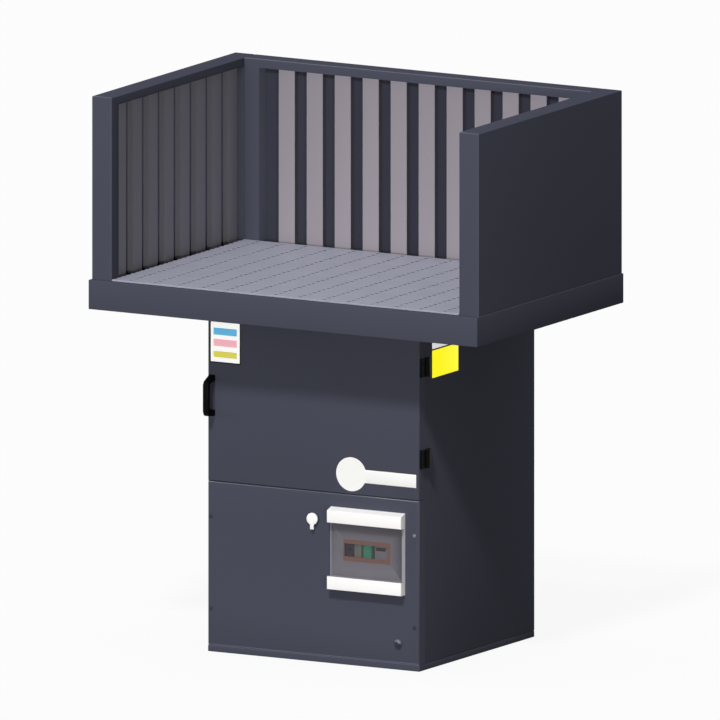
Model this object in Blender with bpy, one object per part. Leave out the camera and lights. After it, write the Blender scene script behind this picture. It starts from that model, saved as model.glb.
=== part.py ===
"""Downdraft bench: a slotted work surface inside a slatted hood, on a cabinet
that holds a pleated filter cartridge above a fan.

The origin is on the floor under the middle of the tray. +X is to the right,
-Y is the front and +Z is up. All lengths are in metres."""

import math

import bmesh
import bpy
from mathutils import Matrix, Vector

# Gaps that let pieces seat without touching, and the overrun of cuts
FIT = 0.0003
CUT = 0.004
WELD = 0.00001
ROUND_STEPS = 2
SMOOTH_ANGLE = math.radians(35.0)

# Tray under the work surface
TRAY_WIDTH = 1.000
TRAY_DEPTH = 0.663
TRAY_HEIGHT = 0.0665
TRAY_WALL = 0.003
TRAY_RIM = 0.015
TRAY_FRONT_RIM = 0.020
TRAY_BAR_WIDTH = 0.013
TRAY_BAR_HEIGHT = 0.020
REAR_INSET = 0.002

# Cabinet
CABINET_WIDTH = 0.544
CABINET_DEPTH = 0.5215
CABINET_HEIGHT = 0.7782
BASE_HEIGHT = 0.015
BASE_SHEET = 0.002
SIDE_SHEET = 0.0015
SIDE_RETURN = 0.022
BACK_SHEET = 0.002
FRONT_REAR = TRAY_DEPTH / 2 - REAR_INSET
CABINET_FRONT = FRONT_REAR - CABINET_DEPTH
CABINET_SIDE = CABINET_WIDTH / 2

# Exhaust slots in the back panel, which lie in front of the fan space
SLOT_LENGTH = 0.150
SLOT_HEIGHT = 0.008
SLOT_ROWS = 7
SLOT_COLUMNS = 2
SLOT_PITCH = 0.030
SLOT_COLUMN_PITCH = 0.200
SLOTS_FROM_BASE = 0.080

# Door over the filter space and cover over the fan space
PAN_DEPTH = 0.025
PAN_SHEET = 0.0015
PAN_ROUNDING = 0.0012
COVER_HEIGHT = 0.372
PANEL_GAP = 0.001
DOOR_TOP_GAP = 0.0032
COVER_BOTTOM = BASE_HEIGHT + FIT
COVER_TOP = COVER_BOTTOM + COVER_HEIGHT
DOOR_BOTTOM = COVER_TOP + PANEL_GAP
DOOR_TOP = CABINET_HEIGHT - DOOR_TOP_GAP
PAN_REAR = CABINET_FRONT + PAN_DEPTH

# Deck that carries the filter
DECK_TOP = DOOR_BOTTOM - FIT
DECK_SHEET = 0.002
DECK_RETURN = 0.025
DECK_HOLE_RADIUS = 0.098
DECK_ARM_WIDTH = 0.022
DECK_BOSS_RADIUS = 0.012
DECK_BOSS_HEIGHT = 0.014

# Hood of three hollow walls
HOOD_SIDE_INSET = 0.0025
HOOD_HEIGHT = 0.4157
HOOD_THICKNESS = 0.0503
HOOD_SHEET = 0.0015
HOOD_FRONT_INSET = 0.011
HOOD_TOP_BORDER = 0.020
HOOD_FRONT_BORDER = 0.033
HOOD_REAR_POST = 0.0185
HOOD_BACK_BORDER = 0.0389
RECESS_DEPTH = 0.0325
HOOD_INNER = TRAY_WIDTH / 2 - HOOD_SIDE_INSET - HOOD_THICKNESS
HOOD_FRONT = HOOD_FRONT_INSET - TRAY_DEPTH / 2
HOOD_BACK_INNER = FRONT_REAR - HOOD_THICKNESS
TRAY_BOTTOM = CABINET_HEIGHT + FIT
TRAY_TOP = TRAY_BOTTOM + TRAY_HEIGHT
HOOD_BOTTOM = TRAY_TOP + FIT
HOOD_TOP = HOOD_BOTTOM + HOOD_HEIGHT

# Slats in the recesses of the hood
SLAT_WIDTH = 0.0413
SLAT_PITCH = 0.072
SLAT_SETBACK = 0.018
SLAT_SHEET = 0.0015
SLAT_STRIP = 0.015
SLAT_DROP = 0.020
BACK_SLATS_START = 0.040
SIDE_SLATS_START = 0.024

# Planks of the work surface
PLANK_COUNT = 15
PLANK_SHEET = 0.0033
PLANK_REAR_GAP = 0.0007
PLANK_SIDE_GAP = 0.00125
OUTER_PLANK_WIDTH = 0.0423
PLANKS_HALF = HOOD_INNER - PLANK_SIDE_GAP
PLANK_PITCH = 2 * (PLANKS_HALF - OUTER_PLANK_WIDTH) / (PLANK_COUNT - 2)
PLANK_FRONT = -TRAY_DEPTH / 2
PLANK_REAR = HOOD_BACK_INNER - PLANK_REAR_GAP
PLANK_LEG_HEIGHT = 0.020
PLANK_LEG_SHEET = 0.0025
PLANK_LEG_INSET = 0.0098
PLANK_LEG_END = 0.026
NOTCH_RADIUS = 0.0058
NOTCH_PITCH = 0.0211
NOTCH_START = 0.0096
NOTCH_ROOM = PLANK_REAR - PLANK_FRONT - NOTCH_START - NOTCH_RADIUS
NOTCH_COUNT = int(NOTCH_ROOM / NOTCH_PITCH) + 1
NOTCH_FACETS = 2

# Hinges of the door
HINGE_HEIGHT = 0.042
HINGE_KNUCKLE_RADIUS = 0.00625
HINGE_PIN_RADIUS = 0.003
HINGE_LEAF_SHEET = 0.0055
HINGE_DOOR_LEAF = 0.0252
HINGE_BODY_LEAF = 0.0185
HINGE_FROM_PAN_REAR = 0.0005
UPPER_HINGE_FROM_TOP = 0.086
LOWER_HINGE_FROM_BOTTOM = 0.093
HINGE_SIDES = 12

# Pull handle of the door
HANDLE_WIDTH = 0.012
HANDLE_HEIGHT = 0.093
HANDLE_REACH = 0.035
HANDLE_FROM_EDGE = 0.0056
HANDLE_FROM_DOOR_BOTTOM = 0.1482
HANDLE_ROUNDING = 0.0022
HANDLE_OUTLINE_SHARES = (
    (0.0, 1.0), (0.11, 1.0), (0.86, 0.9), (1.0, 0.81), (1.0, 0.11), (0.8, 0.027),
    (0.11, 0.0), (0.0, 0.0), (0.0, 0.14), (0.57, 0.155), (0.67, 0.21), (0.67, 0.8),
    (0.57, 0.845), (0.0, 0.875),
)

# Magnet catch on the deck and its keeper on the door
CATCH_WIDTH = 0.040
CATCH_DEPTH = 0.030
CATCH_HEIGHT = 0.020
CATCH_FROM_SIDE = 0.040
KEEPER_INSET = 0.004

# Screws of the service cover
SCREW_HEAD_RADIUS = 0.0045
SCREW_HEAD_HEIGHT = 0.002
SCREW_SHANK_RADIUS = 0.002
SCREW_PAST_RETURN = 0.004
SCREW_SIDES = 12
RIGHT_SCREWS_FROM_EDGE = 0.0125
LEFT_SCREWS_FROM_EDGE = 0.008
UPPER_SCREWS_FROM_TOP = 0.0793
LOWER_SCREWS_FROM_BOTTOM = 0.0837

# Quarter-turn lock of the service cover
LOCK_RADIUS = 0.0095
LOCK_REACH = 0.0065
LOCK_SPINDLE_RADIUS = 0.005
LOCK_CAM_LENGTH = 0.036
LOCK_CAM_WIDTH = 0.013
LOCK_CAM_SHEET = 0.0025
LOCK_FROM_EDGE = 0.053
LOCK_FROM_COVER = 0.0457
LOCK_SIDES = 16

# Selector switch in the service cover
SWITCH_FROM_BOX = 0.045
SWITCH_FROM_TOP = 0.0623
SWITCH_RADIUS = 0.0145
SWITCH_REACH = 0.004
SWITCH_BARREL_RADIUS = 0.011
SWITCH_BARREL_DEPTH = 0.030
SWITCH_STEM_RADIUS = 0.004
SWITCH_STEM_DEPTH = 0.012
SWITCH_HUB_RADIUS = 0.0098
SWITCH_HUB_HEIGHT = 0.004
LEVER_LENGTH = 0.025
LEVER_WIDTH = 0.0115
LEVER_HEIGHT = 0.009
SWITCH_SIDES = 16

# Power box let into the service cover
BOX_WIDTH = 0.19075
BOX_HEIGHT = 0.18525
BOX_FROM_EDGE = 0.03625
BOX_FROM_TOP = 0.03055
BOX_LEFT = CABINET_SIDE - BOX_FROM_EDGE - BOX_WIDTH
BOX_BOTTOM = COVER_TOP - BOX_FROM_TOP - BOX_HEIGHT
SWITCH_PLACE = (BOX_LEFT - SWITCH_FROM_BOX, COVER_TOP - SWITCH_FROM_TOP)
BOX_BODY_INSET = 0.010
BOX_BODY_DEPTH = 0.060
BOX_WALL = 0.002
BOX_BAR_REACH = 0.0198
BOX_LOWER_BAR = 0.0295
BOX_UPPER_BAR = 0.03375
BOX_SLOPE = 0.00625
BOX_FRAME_SHEET = 0.0017
BOX_LEFT_RIM = 0.003
BOX_RIGHT_RIM = 0.0068
BOX_RIM_REACH = 0.0035
BOX_DOOR_SHEET = 0.0025
BOX_DOOR_GAP = 0.0006
MASK_FROM_LEFT = 0.034
MASK_WIDTH = 0.118
MASK_FROM_BOTTOM = 0.0675
MASK_HEIGHT = 0.047
RAIL_HEIGHT = 0.035
RAIL_DEPTH = 0.0075

# Switchgear on the rail, each placed from the left edge of the mask's window
MODULE_SETBACK = 0.004
MODULE_HEIGHT = 0.080
NOSE_HEIGHT = 0.044
NOSE_DEPTH = 0.016
BREAKER_START = 0.002
BREAKER_WIDTH = 0.0195
LEFT_MODULE_START = 0.0235
LEFT_MODULE_WIDTH = 0.0175
RIGHT_MODULE_START = 0.046
RIGHT_MODULE_WIDTH = 0.021
WIDE_MODULE_START = 0.076
WIDE_MODULE_WIDTH = 0.035
TOGGLE_WIDTH = 0.008
TOGGLE_HUB_RADIUS = 0.003
TOGGLE_LENGTH = 0.0085
TOGGLE_TIP = 0.0011
TOGGLE_DEPTH = 0.0035
TOGGLE_TILT = math.radians(20.0)

# Filter cartridge
FILTER_RADIUS = 0.1635
FILTER_BORE_RADIUS = 0.1065
FILTER_HEADROOM = 0.1052
FILTER_LENGTH = CABINET_HEIGHT - FILTER_HEADROOM - DECK_TOP
PLEATS = 32
PLEAT_FOLD = 0.0105
CAP_RIM = 0.003
CAP_BASE = 0.003
CAP_HEIGHT = 0.012
CAP_BORE_RADIUS = 0.101
CAP_SIDES = 24
CLAMP_ROD_RADIUS = 0.004
CLAMP_KNOB_RADIUS = 0.028
CLAMP_KNOB_DIP = 0.006
CLAMP_KNOB_HEIGHT = 0.016
CLAMP_COLLAR_RADIUS = 0.012
CLAMP_COLLAR_HEIGHT = 0.008
CLAMP_LOBES = 5

# Fan
INLET_FLANGE_RADIUS = 0.122
INLET_THROAT_RADIUS = 0.086
INLET_BEND = 0.022
INLET_SHEET = 0.002
INLET_DEPTH = 0.050
INLET_LAP = 0.005
FAN_GAP = 0.004
FAN_RADIUS = 0.140
FAN_HEIGHT = 0.090
FAN_SHEET = 0.0025
FAN_HUB_RADIUS = 0.030
FAN_HUB_HEIGHT = 0.022
FAN_BLADES = 11
BLADE_SHEET = 0.0025
BLADE_LAG = math.radians(38.0)
BLADE_STEPS = 3
FAN_SIDES = 24
MOTOR_RADIUS = 0.075
MOTOR_FROM_BASE = 0.0444
MOTOR_FLANGE_RADIUS = 0.100
MOTOR_FLANGE_SHEET = 0.010
MOTOR_SPIGOT_RADIUS = 0.055
MOTOR_COWL_RADIUS = 0.069
MOTOR_COWL_LENGTH = 0.020
SHAFT_RADIUS = 0.012
STAND_DROP = 0.020
STAND_SHEET = 0.004
STAND_WIDTH = 0.280
STAND_DEPTH = 0.200
STAND_FOOT = 0.030
FAN_Y = (PAN_REAR + FRONT_REAR) / 2

# Colours as seen in the photograph, in steps of 255, then roughness and metallic
LOOKS = {
    "grey_paint": ((73, 74, 88), 0.45, 0.0),
    "slat_paint": ((150, 144, 152), 0.45, 0.1),
    "plank_steel": ((178, 178, 182), 0.4, 0.6),
    "zinc_steel": ((150, 152, 156), 0.4, 0.9),
    "dark_steel": ((60, 60, 64), 0.5, 0.6),
    "black_plastic": ((12, 12, 13), 0.45, 0.0),
    "white_plastic": ((246, 246, 246), 0.4, 0.0),
    "smoked_plastic": ((111, 109, 119), 0.2, 0.0),
    "grey_plastic": ((96, 100, 98), 0.5, 0.0),
    "green_plastic": ((70, 112, 92), 0.5, 0.0),
    "filter_paper": ((226, 224, 214), 0.9, 0.0),
    "fan_alloy": ((168, 170, 174), 0.35, 0.8),
    "motor_blue": ((58, 74, 92), 0.5, 0.0),
}
SRGB_STEPS = 255.0


def linear(step):
    """Return the linear value of a colour step."""
    share = step / SRGB_STEPS
    if share <= 0.04045:
        return share / 12.92
    return ((share + 0.055) / 1.055) ** 2.4


def make_materials():
    """Make one Principled material for each look."""
    made = {}
    for name, (colour, roughness, metallic) in LOOKS.items():
        material = bpy.data.materials.new(name)
        material.use_nodes = True
        shader = material.node_tree.nodes["Principled BSDF"]
        shader.inputs["Base Color"].default_value = (*map(linear, colour), 1.0)
        shader.inputs["Roughness"].default_value = roughness
        shader.inputs["Metallic"].default_value = metallic
        made[name] = material
    return made


def block(bm, low, high):
    """Add a box between two corners and return its faces."""
    low, high = Vector(low), Vector(high)
    place = Matrix.Translation((low + high) / 2) @ Matrix.Diagonal((high - low).to_4d())
    made = bmesh.ops.create_cube(bm, size=1.0, matrix=place)
    bm.normal_update()
    return list({face for vert in made["verts"] for face in vert.link_faces})


def along(axis, pair, distance):
    """Place a pair of coordinates in the plane square to an axis."""
    u, v = pair
    return {"X": (distance, u, v), "Y": (u, distance, v), "Z": (u, v, distance)}[axis]


def prism(bm, outline, axis, start, end):
    """Extrude a closed outline along an axis, from start to end."""
    corners = [bm.verts.new(along(axis, pair, start)) for pair in outline]
    face = bm.faces.new(corners)
    made = bmesh.ops.extrude_face_region(bm, geom=[face])
    moved = [item for item in made["geom"] if isinstance(item, bmesh.types.BMVert)]
    bmesh.ops.translate(bm, verts=moved, vec=along(axis, (0.0, 0.0), end - start))


def cylinder(bm, centre, radius, length, axis, sides):
    """Add a cylinder whose middle is at the centre."""
    turn = {
        "X": Matrix.Rotation(math.pi / 2, 4, "Y"),
        "Y": Matrix.Rotation(math.pi / 2, 4, "X"),
        "Z": Matrix.Identity(4),
    }[axis]
    bmesh.ops.create_cone(
        bm, cap_ends=True, segments=sides, radius1=radius, radius2=radius,
        depth=length, matrix=Matrix.Translation(centre) @ turn,
    )


def turned(bm, outline, sides, centre, closed):
    """Spin an outline of radius and height pairs round a vertical line."""
    points = [bm.verts.new((radius, 0.0, height)) for radius, height in outline]
    edges = [bm.edges.new(pair) for pair in zip(points, points[1:])]
    if closed:
        edges.append(bm.edges.new((points[-1], points[0])))
    bmesh.ops.spin(
        bm, geom=points + edges, axis=(0.0, 0.0, 1.0), cent=(0.0, 0.0, 0.0),
        angle=math.tau, steps=sides, use_merge=True,
    )
    bmesh.ops.remove_doubles(bm, verts=bm.verts, dist=WELD)
    bmesh.ops.translate(bm, verts=bm.verts, vec=centre)


def pan(bm, low, high, opening, wall, rounding=0.0):
    """Add a folded pan: a box of even walls that is open towards one side."""
    opening = Vector(opening)
    faces = block(bm, low, high)
    open_face = max(faces, key=lambda face: face.normal.dot(opening))
    closed_face = min(faces, key=lambda face: face.normal.dot(opening))
    if rounding:
        bmesh.ops.bevel(
            bm, geom=list(closed_face.edges), offset=rounding, segments=ROUND_STEPS,
            profile=0.5, affect="EDGES",
        )
    bmesh.ops.inset_region(bm, faces=[open_face], thickness=wall)
    depth = abs((Vector(high) - Vector(low)).dot(opening))
    made = bmesh.ops.extrude_discrete_faces(bm, faces=[open_face])
    sunk = made["faces"][0]
    bmesh.ops.translate(bm, verts=sunk.verts, vec=opening * (wall - depth))


def finish(name, bm, look, origin=(0.0, 0.0, 0.0), smooth=False):
    """Turn a world-space mesh into an object whose origin is at a given point."""
    bmesh.ops.translate(bm, verts=bm.verts, vec=-Vector(origin))
    bmesh.ops.recalc_face_normals(bm, faces=bm.faces)
    mesh = bpy.data.meshes.new(name)
    bm.to_mesh(mesh)
    bm.free()
    if smooth:
        mesh.shade_smooth()
        mesh.set_sharp_from_angle(angle=SMOOTH_ANGLE)
    mesh.materials.append(MATERIALS[look])
    made = bpy.data.objects.new(name, mesh)
    made.location = origin
    bpy.context.scene.collection.objects.link(made)
    return made


def helper(name, bm, like):
    """Make a hidden wire object for a Boolean, placed as the object it works on."""
    made = finish(name, bm, like.data.materials[0].name)
    made.hide_render = True
    made.display_type = "WIRE"
    return made


def combine(target, other, operation):
    """Cut another object from the target, or join it to the target."""
    modifier = target.modifiers.new(other.name, "BOOLEAN")
    modifier.operation = operation
    modifier.object = other


def cut(target, name, bm):
    """Cut a world-space mesh from the target."""
    combine(target, helper(name, bm, target), "DIFFERENCE")


def join(target, name, bm):
    """Join a world-space mesh to the target."""
    combine(target, helper(name, bm, target), "UNION")


def settled(source):
    """Return the mesh of an object with its modifiers applied."""
    bpy.context.view_layer.update()
    graph = bpy.context.evaluated_depsgraph_get()
    return bpy.data.meshes.new_from_object(source.evaluated_get(graph))


def arc(centre, radius, start, end, steps):
    """Return points on an arc, both ends included."""
    turns = [start + (end - start) * step / steps for step in range(steps + 1)]
    return [
        (centre[0] + radius * math.cos(turn), centre[1] + radius * math.sin(turn))
        for turn in turns
    ]


def make_cabinet():
    """Make the base, the sides, the slotted back and the deck of the cabinet."""
    bm = bmesh.new()
    pan(
        bm,
        (-CABINET_SIDE, CABINET_FRONT, 0.0),
        (CABINET_SIDE, FRONT_REAR, BASE_HEIGHT),
        (0.0, 0.0, 1.0),
        BASE_SHEET,
    )
    finish("base_plate", bm, "grey_paint")

    side_front = PAN_REAR + FIT
    side_rear = FRONT_REAR - BACK_SHEET - FIT
    for name, side in (("left_side", -1), ("right_side", 1)):
        ends = sorted((side * CABINET_SIDE, side * (CABINET_SIDE - SIDE_RETURN)))
        bm = bmesh.new()
        pan(
            bm,
            (ends[0], side_front, BASE_HEIGHT + FIT),
            (ends[1], side_rear, CABINET_HEIGHT),
            (-side, 0.0, 0.0),
            SIDE_SHEET,
        )
        panel = finish(name, bm, "grey_paint")
        bm = bmesh.new()
        for x, z in screw_places():
            if x * side > 0.0:
                cylinder(
                    bm, (x, side_front, z), SCREW_SHANK_RADIUS + FIT, 2 * CUT, "Y",
                    SCREW_SIDES,
                )
        cut(panel, name + "_screw_holes", bm)

    bm = bmesh.new()
    block(
        bm,
        (-CABINET_SIDE, FRONT_REAR - BACK_SHEET, BASE_HEIGHT + FIT),
        (CABINET_SIDE, FRONT_REAR, CABINET_HEIGHT),
    )
    back = finish("back_panel", bm, "grey_paint")
    bm = bmesh.new()
    for column in range(SLOT_COLUMNS):
        middle = (column - (SLOT_COLUMNS - 1) / 2) * SLOT_COLUMN_PITCH
        for row in range(SLOT_ROWS):
            bottom = SLOTS_FROM_BASE + row * SLOT_PITCH
            block(
                bm,
                (middle - SLOT_LENGTH / 2, FRONT_REAR - BACK_SHEET - CUT, bottom),
                (middle + SLOT_LENGTH / 2, FRONT_REAR + CUT, bottom + SLOT_HEIGHT),
            )
    cut(back, "exhaust_slots", bm)

    deck_side = CABINET_SIDE - SIDE_SHEET - FIT
    bm = bmesh.new()
    pan(
        bm,
        (-deck_side, side_front + SIDE_SHEET + FIT, DECK_TOP - DECK_RETURN),
        (deck_side, side_rear - SIDE_SHEET - FIT, DECK_TOP),
        (0.0, 0.0, -1.0),
        DECK_SHEET,
    )
    deck = finish("fan_deck", bm, "grey_paint")
    bm = bmesh.new()
    cylinder(
        bm, (0.0, FAN_Y, DECK_TOP), DECK_HOLE_RADIUS, 2 * DECK_SHEET + 2 * CUT, "Z",
        CAP_SIDES,
    )
    hole = helper("deck_hole", bm, deck)
    for name, reach in (
        ("deck_arms_across", (DECK_HOLE_RADIUS + CUT, DECK_ARM_WIDTH / 2)),
        ("deck_arms_along", (DECK_ARM_WIDTH / 2, DECK_HOLE_RADIUS + CUT)),
    ):
        bm = bmesh.new()
        block(
            bm,
            (-reach[0], FAN_Y - reach[1], DECK_TOP - DECK_SHEET - 2 * CUT),
            (reach[0], FAN_Y + reach[1], DECK_TOP + DECK_SHEET + 2 * CUT),
        )
        cut(hole, name, bm)
    combine(deck, hole, "DIFFERENCE")
    bm = bmesh.new()
    cylinder(
        bm,
        (0.0, FAN_Y, DECK_TOP - DECK_BOSS_HEIGHT / 2),
        DECK_BOSS_RADIUS, DECK_BOSS_HEIGHT, "Z", SCREW_SIDES,
    )
    join(deck, "deck_boss", bm)
    bm = bmesh.new()
    cylinder(
        bm,
        (0.0, FAN_Y, DECK_TOP - DECK_BOSS_HEIGHT / 2),
        CLAMP_ROD_RADIUS + FIT, DECK_BOSS_HEIGHT + 2 * CUT, "Z", SCREW_SIDES,
    )
    cut(deck, "deck_thread", bm)


def make_tray():
    """Make the tray: a box with a folded rim, a bar for the planks and an air opening."""
    side = TRAY_WIDTH / 2
    front = -TRAY_DEPTH / 2
    rear = TRAY_DEPTH / 2
    bm = bmesh.new()
    block(bm, (-side, front, TRAY_BOTTOM), (side, rear, TRAY_TOP))
    tray = finish("tray", bm, "grey_paint")
    bm = bmesh.new()
    block(
        bm,
        (TRAY_WALL - side, front + TRAY_WALL, TRAY_BOTTOM + TRAY_WALL),
        (side - TRAY_WALL, rear - TRAY_WALL, TRAY_TOP - TRAY_WALL),
    )
    cut(tray, "tray_inside", bm)
    bm = bmesh.new()
    block(
        bm,
        (TRAY_RIM - side, front + TRAY_FRONT_RIM, TRAY_TOP - TRAY_WALL - CUT),
        (side - TRAY_RIM, rear - TRAY_RIM, TRAY_TOP + CUT),
    )
    cut(tray, "tray_mouth", bm)
    bm = bmesh.new()
    block(
        bm,
        (
            SIDE_RETURN + TRAY_RIM - CABINET_SIDE,
            PAN_REAR + TRAY_RIM,
            TRAY_BOTTOM - CUT,
        ),
        (
            CABINET_SIDE - SIDE_RETURN - TRAY_RIM,
            FRONT_REAR - SIDE_RETURN,
            TRAY_BOTTOM + TRAY_WALL + CUT,
        ),
    )
    cut(tray, "tray_air_opening", bm)
    bar_rear = HOOD_BACK_INNER - CUT
    bar_end = HOOD_INNER + SLAT_SETBACK - FIT
    bm = bmesh.new()
    outline = [
        (-bar_end, TRAY_BOTTOM + TRAY_WALL / 2),
        (TRAY_BAR_WIDTH - bar_end, TRAY_BOTTOM + TRAY_WALL / 2),
        (TRAY_BAR_WIDTH - bar_end, TRAY_TOP - TRAY_BAR_HEIGHT),
        (bar_end - TRAY_BAR_WIDTH, TRAY_TOP - TRAY_BAR_HEIGHT),
        (bar_end - TRAY_BAR_WIDTH, TRAY_BOTTOM + TRAY_WALL / 2),
        (bar_end, TRAY_BOTTOM + TRAY_WALL / 2),
        (bar_end, TRAY_TOP),
        (-bar_end, TRAY_TOP),
    ]
    prism(bm, outline, "Y", bar_rear - TRAY_BAR_WIDTH, bar_rear)
    join(tray, "tray_bar", bm)


def plank_outline(width, front, rear, both_edges):
    """Return the outline of a plank with a row of notches along its left edge."""
    half = width / 2

    def notches(edge, towards):
        """Return the points of one notched edge, from the front to the rear."""
        points = []
        for index in range(NOTCH_COUNT):
            middle = front + NOTCH_START + index * NOTCH_PITCH
            points += [
                (edge + towards * NOTCH_RADIUS * math.sin(turn), middle + along_y)
                for turn, along_y in (
                    (
                        math.pi * step / NOTCH_FACETS,
                        -NOTCH_RADIUS * math.cos(math.pi * step / NOTCH_FACETS),
                    )
                    for step in range(NOTCH_FACETS + 1)
                )
            ]
        return points

    left = [(-half, front), *notches(-half, 1), (-half, rear)]
    inner = notches(half, -1) if both_edges else []
    right = [(half, front), *inner, (half, rear)]
    return [*right, *reversed(left)]


def plank_mesh(width, both_edges):
    """Make the mesh of one plank: a notched plate on two long legs."""
    front = PLANK_FRONT
    top = TRAY_TOP + FIT + PLANK_SHEET
    bm = bmesh.new()
    outline = plank_outline(width, front, PLANK_REAR, both_edges)
    prism(bm, outline, "Z", top - PLANK_SHEET, top)
    plate = finish("plank_plate", bm, "plank_steel")
    bm = bmesh.new()
    leg_face = width / 2 - PLANK_LEG_INSET
    for side in (-1, 1):
        faces = sorted((side * leg_face, side * (leg_face - PLANK_LEG_SHEET)))
        block(
            bm,
            (faces[0], front + PLANK_LEG_END, top - PLANK_LEG_HEIGHT),
            (
                faces[1],
                HOOD_BACK_INNER - CUT - TRAY_BAR_WIDTH - PLANK_LEG_SHEET,
                top - PLANK_SHEET / 2,
            ),
        )
    join(plate, "plank_legs", bm)
    made = settled(plate)
    for used in (bpy.data.objects["plank_legs"], plate):
        bpy.data.objects.remove(used)
    return made


def make_planks():
    """Lay the planks side by side. Each has its notches on the left, the last on both sides."""
    middle_mesh = plank_mesh(PLANK_PITCH - FIT, False)
    left_mesh = plank_mesh(OUTER_PLANK_WIDTH - FIT, False)
    right_mesh = plank_mesh(OUTER_PLANK_WIDTH - FIT, True)
    outer_middle = PLANKS_HALF - OUTER_PLANK_WIDTH / 2
    for index in range(PLANK_COUNT):
        if index == 0:
            mesh, x = left_mesh, -outer_middle
        elif index == PLANK_COUNT - 1:
            mesh, x = right_mesh, outer_middle
        else:
            mesh, x = middle_mesh, (index - (PLANK_COUNT - 1) / 2) * PLANK_PITCH
        plank = bpy.data.objects.new(f"plank_{index + 1:02d}", mesh)
        plank.location = (x, 0.0, 0.0)
        bpy.context.scene.collection.objects.link(plank)


def hood_wall(name, length, start_border, end_border):
    """Make a hollow wall along local X, with its inner face at local Y zero.

    A recess opens inwards and down. Behind it, and in the posts beside it, the
    wall is hollow and open at the bottom."""
    bm = bmesh.new()
    block(bm, (0.0, 0.0, 0.0), (length, HOOD_THICKNESS, HOOD_HEIGHT))
    wall = finish(name, bm, "grey_paint")
    ceiling = HOOD_HEIGHT - HOOD_SHEET
    lip = HOOD_HEIGHT - HOOD_TOP_BORDER
    bm = bmesh.new()
    outline = [
        (-CUT, -CUT), (RECESS_DEPTH, -CUT), (RECESS_DEPTH, ceiling),
        (HOOD_SHEET, ceiling), (HOOD_SHEET, lip), (-CUT, lip),
    ]
    prism(bm, outline, "X", start_border, length - end_border)
    recess = helper(name + "_recess", bm, wall)
    combine(wall, recess, "DIFFERENCE")
    bm = bmesh.new()
    panel_back = RECESS_DEPTH + HOOD_SHEET
    outline = [
        (HOOD_SHEET, HOOD_SHEET),
        (start_border - HOOD_SHEET, HOOD_SHEET),
        (start_border - HOOD_SHEET, panel_back),
        (length - end_border + HOOD_SHEET, panel_back),
        (length - end_border + HOOD_SHEET, HOOD_SHEET),
        (length - HOOD_SHEET, HOOD_SHEET),
        (length - HOOD_SHEET, HOOD_THICKNESS - HOOD_SHEET),
        (HOOD_SHEET, HOOD_THICKNESS - HOOD_SHEET),
    ]
    prism(bm, outline, "Z", -CUT, ceiling)
    hollow = helper(name + "_hollow", bm, wall)
    combine(wall, hollow, "DIFFERENCE")
    return wall, (recess, hollow)


def slats_that_fit(room, start):
    """Return how many slats a recess holds when the first one lies at the start."""
    return int((room - start - SLAT_WIDTH) / SLAT_PITCH) + 1


def slat_rack(name, start, end, first, count):
    """Make a row of upright slats, folded back at both edges, between two strips."""
    columns = [(start, first, "gap")]
    for index in range(count):
        left = first + index * SLAT_PITCH
        right = left + SLAT_WIDTH
        columns += [
            (left, left + SLAT_SHEET, "leg"),
            (left + SLAT_SHEET, right - SLAT_SHEET, "web"),
            (right - SLAT_SHEET, right, "leg"),
        ]
        following = first + (index + 1) * SLAT_PITCH if index < count - 1 else end
        columns.append((right, following, "gap"))
    top = HOOD_HEIGHT - HOOD_SHEET - FIT
    levels = (-SLAT_DROP, SLAT_STRIP - SLAT_DROP, top - SLAT_STRIP, top)
    bm = bmesh.new()
    corners = {}

    def corner(x, z):
        """Return the one vertex at a place in the front plane."""
        if (x, z) not in corners:
            corners[(x, z)] = bm.verts.new((x, SLAT_SETBACK, z))
        return corners[(x, z)]

    for left, right, kind in columns:
        for row in range(len(levels) - 1):
            if kind == "gap" and row == 1:
                continue
            low, high = levels[row], levels[row + 1]
            bm.faces.new(
                [corner(left, low), corner(right, low), corner(right, high), corner(left, high)]
            )
    made = bmesh.ops.extrude_face_region(bm, geom=list(bm.faces))
    moved = [item for item in made["geom"] if isinstance(item, bmesh.types.BMVert)]
    bmesh.ops.translate(bm, verts=moved, vec=(0.0, SLAT_SHEET, 0.0))
    legs = []
    for face in [item for item in made["geom"] if isinstance(item, bmesh.types.BMFace)]:
        middle = face.calc_center_median()
        if levels[1] < middle.z < levels[2]:
            if any(kind == "leg" and left < middle.x < right for left, right, kind in columns):
                legs.append(face)
    folded = bmesh.ops.extrude_discrete_faces(bm, faces=legs)
    depth = RECESS_DEPTH - FIT - SLAT_SETBACK - SLAT_SHEET
    verts = list({vert for face in folded["faces"] for vert in face.verts})
    bmesh.ops.translate(bm, verts=verts, vec=(0.0, depth, 0.0))
    return finish(name, bm, "slat_paint")


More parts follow.
